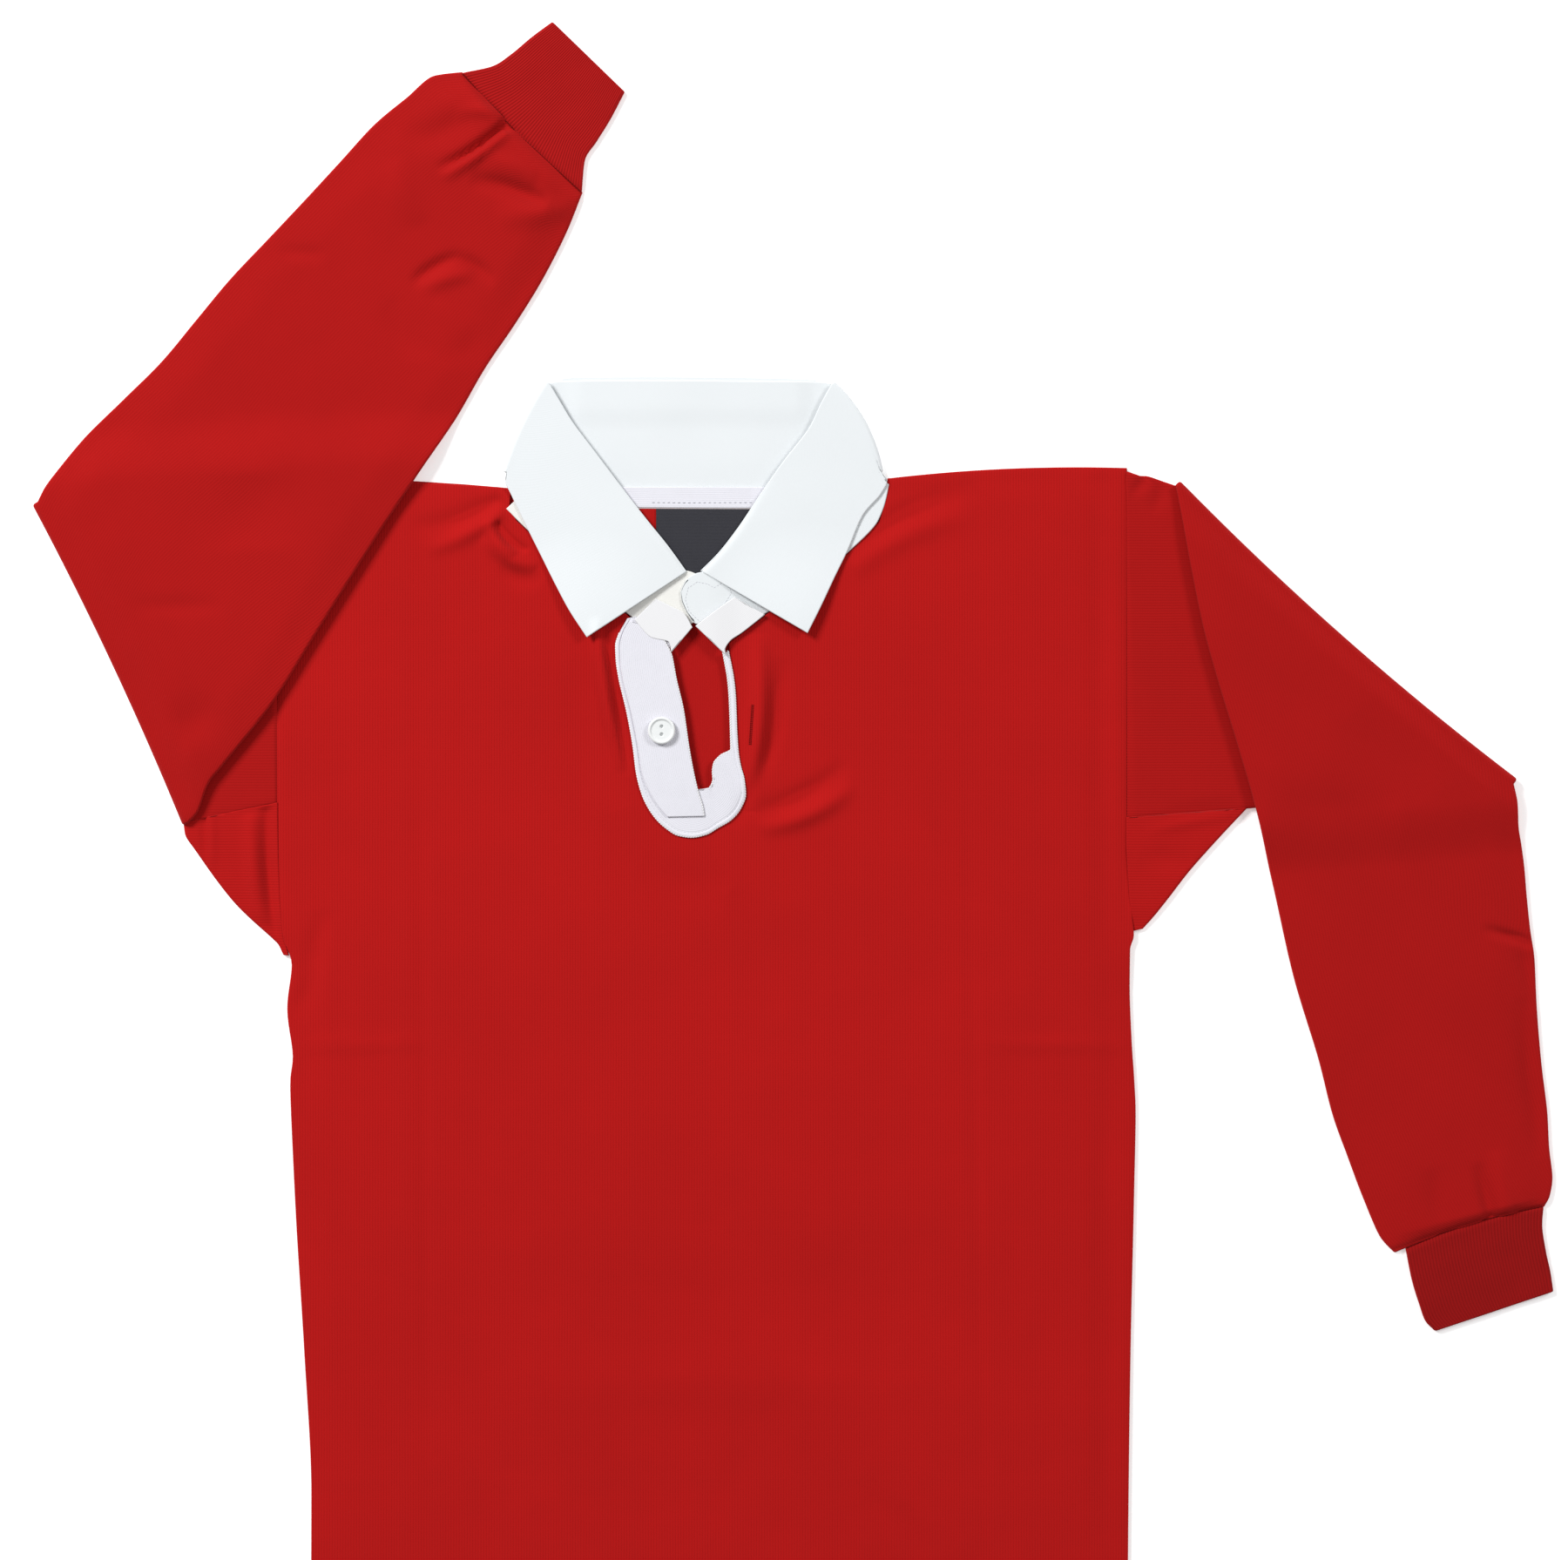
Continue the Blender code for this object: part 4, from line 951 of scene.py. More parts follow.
def build_front(cloth):
    """Two grids, from side edge to centre line, that share their points below the slit."""
    right, left = np.array(FRONT_RIGHT), np.array(FRONT_LEFT)
    spacing = np.where(right[:-1, 1] < -30.0, 6.0, 2.5)
    at = row_numbers(np.maximum(table_lengths(right), table_lengths(left)), spacing, margin=1.0)
    halves = []
    for table in (right, left):
        outer, inner = flowing(table[:, 0:2], at), straight(table[:, 2:4], at)
        even = evenly(86)
        denser_inside = even * (1.3 - 0.3 * even)
        shares = margined(denser_inside, np.linalg.norm(inner - outer, axis=1), 1.3)
        halves.append(bowed(outer, inner, shares, straight(table[:, 4:5], at)[:, 0]))
    halves[1] = halves[1][:, ::-1]
    rows, columns = halves[0].shape[:2]
    slit = int(np.searchsorted(at, SLIT_ROW))
    first, second = np.arange(2 * rows * columns).reshape(2, rows, columns)
    second[:slit + 1, 0] = first[:slit + 1, -1]
    ring = np.concatenate([
        first[0], second[0, 1:], second[1:, -1], second[-1, -2::-1], second[-2:slit:-1, 0],
        first[slit:, -1], first[-1, -2::-1], first[-2:0:-1, 0],
    ])
    corners = np.concatenate([grid_faces(first), grid_faces(second)])
    used, faces = np.unique(corners, return_inverse=True)
    flat = np.concatenate([half.reshape(-1, 2) for half in halves])[used]
    middle = np.column_stack([flat, front_height(*xy(flat), cloth)])
    piece = shell(
        "front_knit", middle, flat, faces.reshape(-1, 4), np.searchsorted(used, ring), WALL,
        [material("knit"), material("inside")],
    )
    return piece, sum(map(flat_area, halves))


class SHIRT_OT_back(bpy.types.Operator):
    """Builds the back, flat on the table, its rows bent to the neckline at the top"""

    bl_idname = "shirt.back"
    bl_label = "Back"

    def execute(self, context):
        top = np.array(BACK_TOP)
        ys = np.arange(HEM_Y, 317.0, 6.0)
        ys = np.concatenate([ys[:1], ys[:1] + 1.2, ys[1:], [318.8, 320.0]])
        sides = []
        for half in (FRONT_RIGHT, FRONT_LEFT):
            at = row_numbers(table_lengths(half), 3.0)
            side = flowing(np.array(half)[:, 0:2], at)
            sides.append(np.interp(ys, side[:, 1], side[:, 0]))
        x_right, x_left = sides
        shares = margined(evenly(98), x_left - x_right, 1.2)
        x = x_right[:, None] + (x_left - x_right)[:, None] * shares
        top_share = (top[:, 0] - top[0, 0]) / (top[-1, 0] - top[0, 0])
        edge = np.interp(shares, top_share, top[:, 1])
        rise = np.maximum(0.0, ys - BACK_BLEND_Y) / (ys[-1] - BACK_BLEND_Y)
        y = np.minimum(ys, BACK_BLEND_Y)[:, None] + (edge - BACK_BLEND_Y) * rise[:, None]
        flat = np.stack([x, y], -1)
        finishes = [material("inside"), material("knit")]
        piece = grid_shell("back_knit", flat, WALL / 2, WALL, finishes)
        settle(piece, "red_knit", "body_back")
        return {"FINISHED"}


class SHIRT_OT_front(bpy.types.Operator):
    """Builds the front, lofted and creased, with the slit at its neck"""

    bl_idname = "shirt.front"
    bl_label = "Front"

    def execute(self, context):
        piece, area = build_front(context.scene.shirt_cloth)
        settle(piece, "red_knit", "body_front")
        return {"FINISHED"}


# ---- sleeves and cuffs ----


RING_BENDS = 7
BENDS = np.linspace(-math.pi / 2, math.pi / 2, RING_BENDS + 2)[1:-1]
RING_STEP = 4.3
ROW_STEP = 3.7
SEAM_STEP = 1.3


def ring_lines(widths, spacing, inset):
    """Rings of a flattened tube, a row for each width: the lower wall, the far edge's half circle,
    the upper wall and the near edge's. Each point has its distance across and its height."""
    radius = LAYER / 2 - inset
    count = max(8, int(np.max(widths) / spacing))
    share = evenly(count)[None]
    wide = widths[:, None]
    wall = LAYER / 2 + share * (wide - LAYER)
    far = wide - LAYER / 2 + radius * np.cos(BENDS)
    near = LAYER / 2 - radius * np.cos(BENDS) + 0 * wide
    rise = LAYER / 2 + radius * np.sin(BENDS) + 0 * wide
    across = np.concatenate([wall, far, wall[:, ::-1], near], 1)
    level = np.concatenate([wall * 0 + inset, rise, wall * 0 + LAYER - inset, rise[:, ::-1]], 1)
    return across, level, count


def wall_weight(count):
    """For each point of a ring: 0 on the lower wall, 1 on the upper one, and sines between."""
    rise = (1 + np.sin(BENDS)) / 2
    return np.concatenate([np.zeros(count), rise, np.ones(count), rise[::-1]])


def row_runs(rows):
    """Each row's way from its first point to its second, and how wide that is."""
    run = rows[:, 2:4] - rows[:, 0:2]
    return run, np.linalg.norm(run, axis=1)


def row_points(rows, across):
    """Flat points this far across each row of (tx, ty, ux, uy, turn, bow), moved sideways by the
    row's bow times 4s(1 - s), and their shares s of the row."""
    run, widths = row_runs(rows)
    share = across / widths[:, None]
    flat = rows[:, None, 0:2] + run[:, None] * share[..., None]
    bow = (rows[:, 5:6] * 4 * share * (1 - share))[..., None]
    return flat + unit(left_of(run))[:, None] * bow, share


def tube_area(widths, lengths):
    """Area of a tube's cloth, in square metres, from its rows' widths and distances."""
    return float(((widths[1:] + widths[:-1]) * lengths).sum() * MM * MM)


def tube_grain(rows, flat, count):
    """The cloth's own millimetres on a tube: u away from the shoulder edge, minus on the lower
    wall, and v along it. Up to the fold they go straight across the shirt, and past it they
    follow the edge, with v longer by the turn's own length."""
    turned = rows[:, 4]
    uv = np.zeros(flat.shape)
    lower_part, upper_part = turned == 0, turned == 180
    offset = flat[lower_part] - rows[0, 0:2]
    uv[lower_part] = np.abs(offset[..., ::-1])
    if upper_part.any():
        edge = rows[upper_part, 0:2]
        course = unit(np.gradient(edge, axis=0))
        for _ in range(40):
            course[1:-1] = unit(course[:-2] + 2 * course[1:-1] + course[2:])
            course[0], course[-1] = course[1], course[-2]
        travel = travelled(edge) + uv[lower_part][-1, 0, 1] + math.pi * FOLD_RADIUS
        offset = flat[upper_part] - edge[:, None]
        u = np.abs(offset[..., 0] * course[:, None, 1] - offset[..., 1] * course[:, None, 0])
        uv[upper_part] = np.stack([u, travel[:, None] + (offset * course[:, None]).sum(-1)], -1)
        turning = (turned > 0) & (turned < 180)
        before, after = uv[lower_part][-1], uv[upper_part][0]
        uv[turning] = before + (after - before) * (turned[turning] / 180)[:, None, None]
    lower_wall = np.arange(flat.shape[1]) <= count + RING_BENDS // 2
    uv[..., 0] *= np.where(lower_wall, -1.0, 1.0)[None]
    return uv


def tube_piece(name, outer, inner, uv, count, finishes):
    """A tube from its outer and inner rings, with a rounded lip at both ends. u changes its sign
    in the middle of the far edge and at the first point, so it is mirrored at those corners."""
    rows, columns = outer.shape[:2]
    size = rows * columns
    lips = []
    for end, towards in ((0, 1), (-1, -2)):
        out = unit(outer[end] - outer[towards])
        wall = np.linalg.norm(outer[end] - inner[end], axis=1)[:, None]
        lips.append((outer[end] + inner[end]) / 2 + out * wall * 0.45)
    points = np.concatenate([outer.reshape(-1, 3), inner.reshape(-1, 3), *lips])
    first, last = np.arange(columns), size - columns + np.arange(columns)
    lip_a, lip_b = 2 * size + first, 2 * size + columns + first
    faces = np.concatenate([
        quads(rows, columns, closed=True)[:, ::-1],
        quads(rows, columns, size, closed=True),
        strips(first, lip_a), strips(lip_a, first + size),
        strips(last, lip_b)[:, ::-1], strips(lip_b, last + size)[:, ::-1],
    ])
    corner_uv = np.concatenate([uv.reshape(-1, 2), uv.reshape(-1, 2), uv[0], uv[-1]])[faces]
    column = faces % columns
    far_edge = count + RING_BENDS // 2
    for low, high, mirrored in ((far_edge, far_edge + 1, 1), (0, columns - 1, 0)):
        here = (column == low).any(1) & (column == high).any(1)
        corners = (column == (high if mirrored else low)) & here[:, None]
        corner_uv[corners, 0] *= -1
    return new_piece(name, points, faces, corner_uv, finishes)


def sleeve_rows(table):
    """Close rows of (tx, ty, ux, uy, turn, bow), with twelve steps round the fold."""
    cut = int(np.argmax(table[:, 4] > 0))
    parts = []
    for part, seam in ((table[:cut], 0), (table[cut:], -1)):
        spacing = np.full(len(part) - 1, ROW_STEP)
        spacing[seam] = SEAM_STEP
        parts.append(flowing(part, row_numbers(table_lengths(part), spacing, margin=0.7)))
    near, far = parts
    near[:, 4], far[:, 4] = 0, 180
    turning = np.repeat(table[cut - 1:cut], 11, 0)
    turning[:, 4] = np.linspace(0, 180, 13)[1:-1]
    return np.concatenate([near, turning, far])


def fold_outward(table):
    """Unit vector in plan, away from the sleeve, at right angles to its fold."""
    fold = next(s for s in table if s.turn > 0)
    run = unit(np.array([fold.ux - fold.tx, fold.uy - fold.ty]))
    outward = -left_of(run)
    return outward if outward[0] * (fold.tx - table[0].tx) > 0 else -outward


def past_right_shoulder(x, y):
    """How far a point lies above the shoulder line and the right sleeve's shoulder edge."""
    start, end = SLEEVE_RIGHT[0], SLEEVE_RIGHT[5]
    slope = (start.ty - end.ty) / (start.tx - end.tx)
    return y - start.ty - np.minimum(x - start.tx, 0.0) * slope


def past_left_underarm(x, y):
    """How far a point lies below the left sleeve's underarm edge."""
    start, end = SLEEVE_LEFT[0], SLEEVE_LEFT[5]
    slope = (end.uy - start.uy) / (end.ux - start.ux)
    return start.uy + (x - start.ux) * slope - y


# Each sleeve: its stations, what it lies on, the creases of the part folded over and of the part
# below, and whether its raised inner edge is the underarm one.
SleeveCut = namedtuple("SleeveCut", "stations support creases lower_creases underarm_up")
SLEEVES = {
    "right": SleeveCut(SLEEVE_RIGHT, past_right_shoulder, SLEEVE_RIGHT_CREASES, (), True),
    "left": SleeveCut(
        SLEEVE_LEFT, past_left_underarm, SLEEVE_LEFT_CREASES, SLEEVE_LEFT_LOWER_CREASES, False
    ),
}


def build_sleeve(side, cloth):
    """A flattened tube whose rings are turned round the fold by each row's angle: across its row,
    and in and up by the sine and cosine. The part folded over swells, its inner edge stands up a
    little, it drops from what it lies on to the table, and creases move its visible wall."""
    cut = SLEEVES[side]
    rows = sleeve_rows(np.array(cut.stations))
    _, widths = row_runs(rows)
    outward = fold_outward(cut.stations)
    turned = rows[:, 4:5]
    travel = travelled((rows[:, 0:2] + rows[:, 2:4]) / 2)
    fold_row = int(np.argmax(rows[:, 4] >= 180))
    settled = smooth((travel - travel[fold_row])[:, None] / 30.0) * (turned >= 180)
    to_cuff = (travel[-1] - travel)[:, None]
    fuller = (0.3 + 0.7 * smooth(to_cuff / 9.0)) * (1 + 1.1 * np.exp(-((to_cuff / 60.0) ** 2)))
    skins = []
    for inset in (0.0, WALL):
        across, level, count = ring_lines(widths, RING_STEP, inset)
        flat, share = row_points(rows, across)
        reach = FOLD_RADIUS - level
        flat = flat + outward * (reach * np.sin(np.radians(turned)))[..., None]
        x, y = xy(flat)
        weight = wall_weight(count)[None]
        visible = np.where(turned > 90, 1 - weight, weight)
        off = smooth((cut.support(x, y) - DROP_MARGIN) / DROP_LENGTH)
        dropped = smooth((turned - 90) / 90) * DROP * off
        z = FOLD_RADIUS - reach * np.cos(np.radians(turned)) - dropped
        edge = np.minimum(share, 1 - share) * widths[:, None]
        raised = smooth(share if cut.underarm_up else 1 - share)
        z += cloth.sleeve_lift / MM * settled * (1 - off) * (0.35 + 0.65 * raised)
        swell = cloth.sleeve_puff / MM * smooth(edge / 30.0) * fuller
        relief = crease_height(x, y, cut.creases, 1.5 * cloth.creasing)
        relief = relief * (0.4 + 0.6 * smooth(edge / 8.0)) + seam_groove(to_cuff, 1.6)
        uneven = 0.5 * unevenness(x, y, 120.0, 5.0) + 0.15 * unevenness(x, y, 40.0, 6.0)
        relief += uneven * smooth(edge / 12.0)
        z += visible * settled * np.maximum(swell + relief, DEEPEST)
        low = crease_height(x, y, cut.lower_creases, cloth.creasing)
        z += visible * (low + seam_groove(travel[:, None], 1.2)) * (turned == 0)
        skins.append(np.stack([x, y, z], -1))
    uv = tube_grain(rows, skins[0][..., :2], count)
    piece = tube_piece(f"sleeve_knit_{side}", *skins, uv, count, [material("sleeve")])
    round_fold = math.pi * FOLD_RADIUS
    area = tube_area(widths, np.diff(travel)) + 2 * widths[fold_row] * round_fold * MM * MM
    return piece, metres(2 * widths[0], travel[-1] + round_fold), area


class SHIRT_OT_sleeves(bpy.types.Operator):
    """Builds both sleeves, each a tube folded over once"""

    bl_idname = "shirt.sleeves"
    bl_label = "Sleeves"

    def execute(self, context):
        below = {"right": ["front_knit"], "left": []}
        for side, rests in below.items():
            piece, size, area = build_sleeve(side, context.scene.shirt_cloth)
            settle(piece, "red_knit", f"sleeve_{side}")
        return {"FINISHED"}


class SHIRT_OT_cuffs(bpy.types.Operator):
    """Builds both cuffs, flattened tubes with real ribs along them"""

    bl_idname = "shirt.cuffs"
    bl_label = "Cuffs"

    def execute(self, context):
        pitch = context.scene.shirt_cloth.cuff_rib / MM
        for side, table in (("right", np.array(CUFF_RIGHT)), ("left", np.array(CUFF_LEFT))):
            spacing = np.array([SEAM_STEP, 3.0, 3.0, 3.0])
            rows = flowing(table, row_numbers(table_lengths(table), spacing, margin=0.7))
            from_seam = np.linalg.norm(rows[:, 0:2] - rows[0, 0:2], axis=1)[:, None]
            _, widths = row_runs(rows)
            stretch = (widths / widths.max())[:, None]
            skins = []
            for inset in (0.0, WALL):
                across, level, count = ring_lines(widths, pitch / 6, inset)
                flat, _ = row_points(rows, across)
                ribs = -np.cos(2 * math.pi * across / stretch / pitch)
                edge = smooth(np.minimum(across, widths[:, None] - across) / 3.0)
                away = np.where(level > LAYER / 2, 1.0, -1.0) * (inset == 0.0)
                waves = 0.3 * unevenness(*xy(flat), 30.0, 3.0) * wall_weight(count)[None]
                z = level + (away * 0.1 * (ribs - 1) + waves) * edge
                z += seam_groove(from_seam, 1.2) * wall_weight(count)[None]
                skins.append(np.dstack([flat, z]))
            uv = tube_grain(rows, skins[0][..., :2], count)
            uv[..., 0] = across / stretch * np.where(uv[..., 0] < 0, -1.0, 1.0)
            piece = tube_piece(f"cuff_rib_{side}", *skins, uv, count, [material(f"rib {side}")])
            settle(piece, "red_rib", f"cuff_{side}")
        return {"FINISHED"}


class SHIRT_OT_gussets(bpy.types.Operator):
    """Builds both underarm gussets, each a diamond folded in half"""

    bl_idname = "shirt.gussets"
    bl_label = "Gussets"

    def execute(self, context):
        cloth = context.scene.shirt_cloth
        cuts = (
            ("right", GUSSET_RIGHT, GUSSET_RIGHT_CREASES),
            ("left", GUSSET_LEFT, GUSSET_LEFT_CREASES),
        )
        for side, table, folds in cuts:
            table = np.array(table)
            rows = flowing(table[:, :4], row_numbers(table_lengths(table), 2.2, margin=0.9))
            run, widths = row_runs(rows)
            radius = (WALL + GAP + LOFT * smooth(widths / RIM)) / 2
            reach = widths - radius - WALL / 2
            wall = margined(evenly(26), reach, 0.9) * reach[:, None]
            radius, reach = radius[:, None], reach[:, None]
            across = np.concatenate([wall, reach + radius * np.cos(BENDS), wall[:, ::-1]], 1)
            rise = [0 * wall, radius * (1 + np.sin(BENDS)), 2 * radius + 0 * wall]
            rise = np.concatenate(rise, 1)
            flat = rows[:, None, 0:2] + run[:, None] * (across / widths[:, None])[..., None]
            x, y = xy(flat)
            soft = smooth((widths[:, None] - across) / 8.0) * smooth(across / 5.0)
            soft = soft * rise / (2 * radius)
            relief = crease_height(x, y, folds, cloth.creasing) + 0.25 * unevenness(x, y, 50.0, 7.0)
            z = WALL / 2 + rise + relief * soft
            along = np.cumsum(np.abs(np.diff(across, axis=1)), axis=1)
            uv = np.stack([y, np.concatenate([across[:, :1] * 0, along], 1)], -1)
            piece = grid_shell(f"gusset_knit_{side}", flat, z, WALL, [material("knit")], uv)
            settle(piece, "red_knit", f"gusset_{side}")
        return {"FINISHED"}


# ---- collar ----


UNDERPLY = 0.7
UNDERPLY_Z = 0.4
LABEL = 0.7
ROLL_SHARES = np.concatenate([np.linspace(0, 0.93, 28), [0.95, 0.965, 0.98, 0.99, 1.0]])


def collar_height(x, y, share, cloth):
    """Height of a leaf's middle: it lies over the front's raised folds, its point stands up, and
    its roll edge curls down like a quarter circle."""
    over_front = np.maximum(front_relief(x, y, cloth), 0.0) * smooth((290.0 - y) / 20.0)
    tips = [np.hypot(x - tip.x0, y - tip.y0) for tip in (LEAF_RIGHT[0], LEAF_LEFT[-1])]
    lift = cloth.tip_lift / MM * smooth(1 - np.minimum(*tips) / 75.0)
    rise = smooth((330.0 - y) / 60.0)
    roll = 1 - np.sqrt(1 - np.clip((share - 0.945) / 0.055, 0, 1) ** 2 * 0.98)
    return LEAF_MID + over_front + lift + (0.9 * smooth(share) - 1.5 * roll) * rise


def fold_round(line, way, top, angles):
    """Rows round a fold: out by the sine of the angle, and up by one less its cosine."""
    run = unit(line[-1] - line[0])
    outward = -left_of(run)
    outward = outward * way * np.sign(outward[0])
    turn = np.radians(angles)[:, None]
    radius = (top[None] - WALL / 2) / 2
    flat = line[None] + outward * (radius * np.sin(turn))[..., None]
    return np.dstack([flat, WALL / 2 + radius * (1 - np.cos(turn))])


class SHIRT_OT_collar(bpy.types.Operator):
    """Builds the collar: right leaf, round its fold, open back, round the other fold, left leaf"""

    bl_idname = "shirt.collar"
    bl_label = "Collar"

    def execute(self, context):
        cloth = context.scene.shirt_cloth
        leaves = []
        for table in (LEAF_RIGHT + (COLLAR_FOLD_RIGHT,), (COLLAR_FOLD_LEFT,) + LEAF_LEFT):
            flat = spread(table, ROLL_SHARES, 2.6, 0.9)
            share = evenly(flat.shape[1])
            share[1:-1] = ROLL_SHARES
            z = collar_height(*xy(flat), np.broadcast_to(share, flat.shape[:2]), cloth)
            leaves.append(np.dstack([flat, z]))
        table = (COLLAR_FOLD_RIGHT,) + COLLAR_BACK + (COLLAR_FOLD_LEFT,)
        flat = spread(table, ROLL_SHARES, 3.0, 0.9)
        x, y = xy(flat)
        waves = 0.25 * (1 + unevenness(x, y, 60.0, 4.0)) * smooth((y - 312) / 20)
        at_folds = smooth((x + 100) / 15) * smooth((70 - x) / 15)
        over_second_ply = 0.8 * smooth((y - 352) / 16)
        back = np.dstack([flat, WALL / 2 + (waves + over_second_ply) * at_folds])
        right, left = leaves
        grid = np.concatenate([
            right,
            fold_round(right[-1, :, :2], -1, right[-1, :, 2], np.linspace(180, 0, 11)[1:-1]),
            back,
            fold_round(left[0, :, :2], 1, left[0, :, 2], np.linspace(0, 180, 11)[1:-1]),
            left,
        ])
        uv, finishes = strip_uv(grid), [material("drill")]
        piece = grid_shell("collar_drill", grid[..., :2], grid[..., 2], WALL, finishes, uv)
        settle(piece, "white_drill", "collar")

        flat = spread(COLLAR_SECOND_PLY, evenly(8), 3.0, 0.5)
        lay("collar_underply", flat, UNDERPLY_Z, UNDERPLY, "drill", "white_drill")
        return {"FINISHED"}


def lap(x):
    """How far the left stand's end is raised, as it laps over the right one's."""
    return 1.5 * smooth((x + 26.0) / 6.0) * smooth((22.0 - x) / 24.0)


class SHIRT_OT_stands(bpy.types.Operator):
    """Builds the two collar stands; the left one's round end laps over the right one's"""

    bl_idname = "shirt.stands"
    bl_label = "Collar stands"

    def execute(self, context):
        for side, table, finish in (("right", STAND_RIGHT, "stand"), ("left", STAND_LEFT, "drill")):
            flat = spread(table, evenly(16), 1.6, 0.8)
            raised = lap(flat[..., 0]) if side == "left" else 0.0
            uv = strip_uv(flat)
            lay(
                f"stand_drill_{side}", flat, LAYER - WALL / 2 + raised, WALL, finish, "white_drill",
                f"collar_stand_{side}", size=metres(uv[-1, 0, 1] * 1.1, uv[..., 0].max()),
            )
        return {"FINISHED"}


class SHIRT_OT_neck_tape(bpy.types.Operator):
    """Builds the tape over the back neck seam and the bare label that hangs from it"""

    bl_idname = "shirt.neck_tape"
    bl_label = "Neck tape and label"

    def execute(self, context):
        made = (
            ("neck_twill", "neck_tape", NECK_TAPE, 12, TAPE, "tape", "white_twill"),
            ("label_weave", "neck_label", NECK_LABEL, 28, LABEL, "label", "charcoal_weave"),
        )
        for name, node, table, columns, thickness, finish, slot in made:
            flat = spread(table, evenly(columns), 2.0, 0.7)
            z = WALL + GAP + TAPE / 2 + 0.12 * unevenness(*xy(flat), 25.0, 8.0)
            lay(name, flat, z, thickness, finish, slot, node, rests_on=["back_knit"])
        return {"FINISHED"}


# ---- placket ----


TAB_LIFT = 1.9
TAPE_STEP = 1.4
TAPE_MARGIN = 0.7
FACING_SIZE = (0.30, 0.042)
STITCH_INSET = 2.9
FACING_SHARES = np.concatenate([
    [0, 0.03, 0.05, 0.07, 0.09, 0.11, 0.135, 0.165], np.linspace(0.2, 1, 20),
])


def facing_height(x, y, u, cloth):
    """Height of the facing's middle: on the front, with a ridge along the outer edge, u
    millimetres from it, and a stitched groove inside the ridge."""
    ridge = 0.28 * np.exp(-((u - 1.2) / 1.0) ** 2) - 0.22 * np.exp(-((u - STITCH_INSET) / 0.5) ** 2)
    return front_height(x, y, cloth) + WALL / 2 + GAP + TAPE / 2 + ridge


def band_height(x, y, cloth):
    """Height of the band's middle, on the facing."""
    return front_height(x, y, cloth) + WALL / 2 + 2 * GAP + TAPE * 1.5


class SHIRT_OT_placket(bpy.types.Operator):
    """Builds the facing round the slit and the button band on it"""

    bl_idname = "shirt.placket"
    bl_label = "Placket"

    def execute(self, context):
        cloth = context.scene.shirt_cloth
        flat = spread(FACING, FACING_SHARES, TAPE_STEP, TAPE_MARGIN)
        z = facing_height(*xy(flat), strip_uv(flat)[..., 0], cloth)
        lay(
            "placket_twill", flat, z, TAPE, "tape", "white_twill", "placket_facing",
            size=FACING_SIZE, rests_on=["front_knit"],
        )
        flat = spread(BAND, evenly(30), TAPE_STEP, TAPE_MARGIN)
        z = band_height(*xy(flat), cloth)
        lay(
            "band_twill", flat, z, TAPE, "tape", "white_twill", "placket_band",
            rests_on=["placket_twill"],
        )
        return {"FINISHED"}


class SHIRT_OT_tabs(bpy.types.Operator):
    """Builds the turned tape ends at the top of the slit"""

    bl_idname = "shirt.tabs"
    bl_label = "Placket tabs"

    def execute(self, context):
        for side, table in (("right", TAB_RIGHT), ("left", TAB_LEFT)):
            flat = spread(table, evenly(16), TAPE_STEP, TAPE_MARGIN)
            raised = lap(flat[..., 0]) if side == "left" else 0.0
            z = LAYER + GAP + TAPE / 2 + raised + TAB_LIFT
            lay(
                f"tab_twill_{side}", flat, z, TAPE, "tab", "white_twill", f"placket_tab_{side}",
                held="folded", rests_on=["placket_twill"],
            )
        return {"FINISHED"}


# ---- button and stitching ----


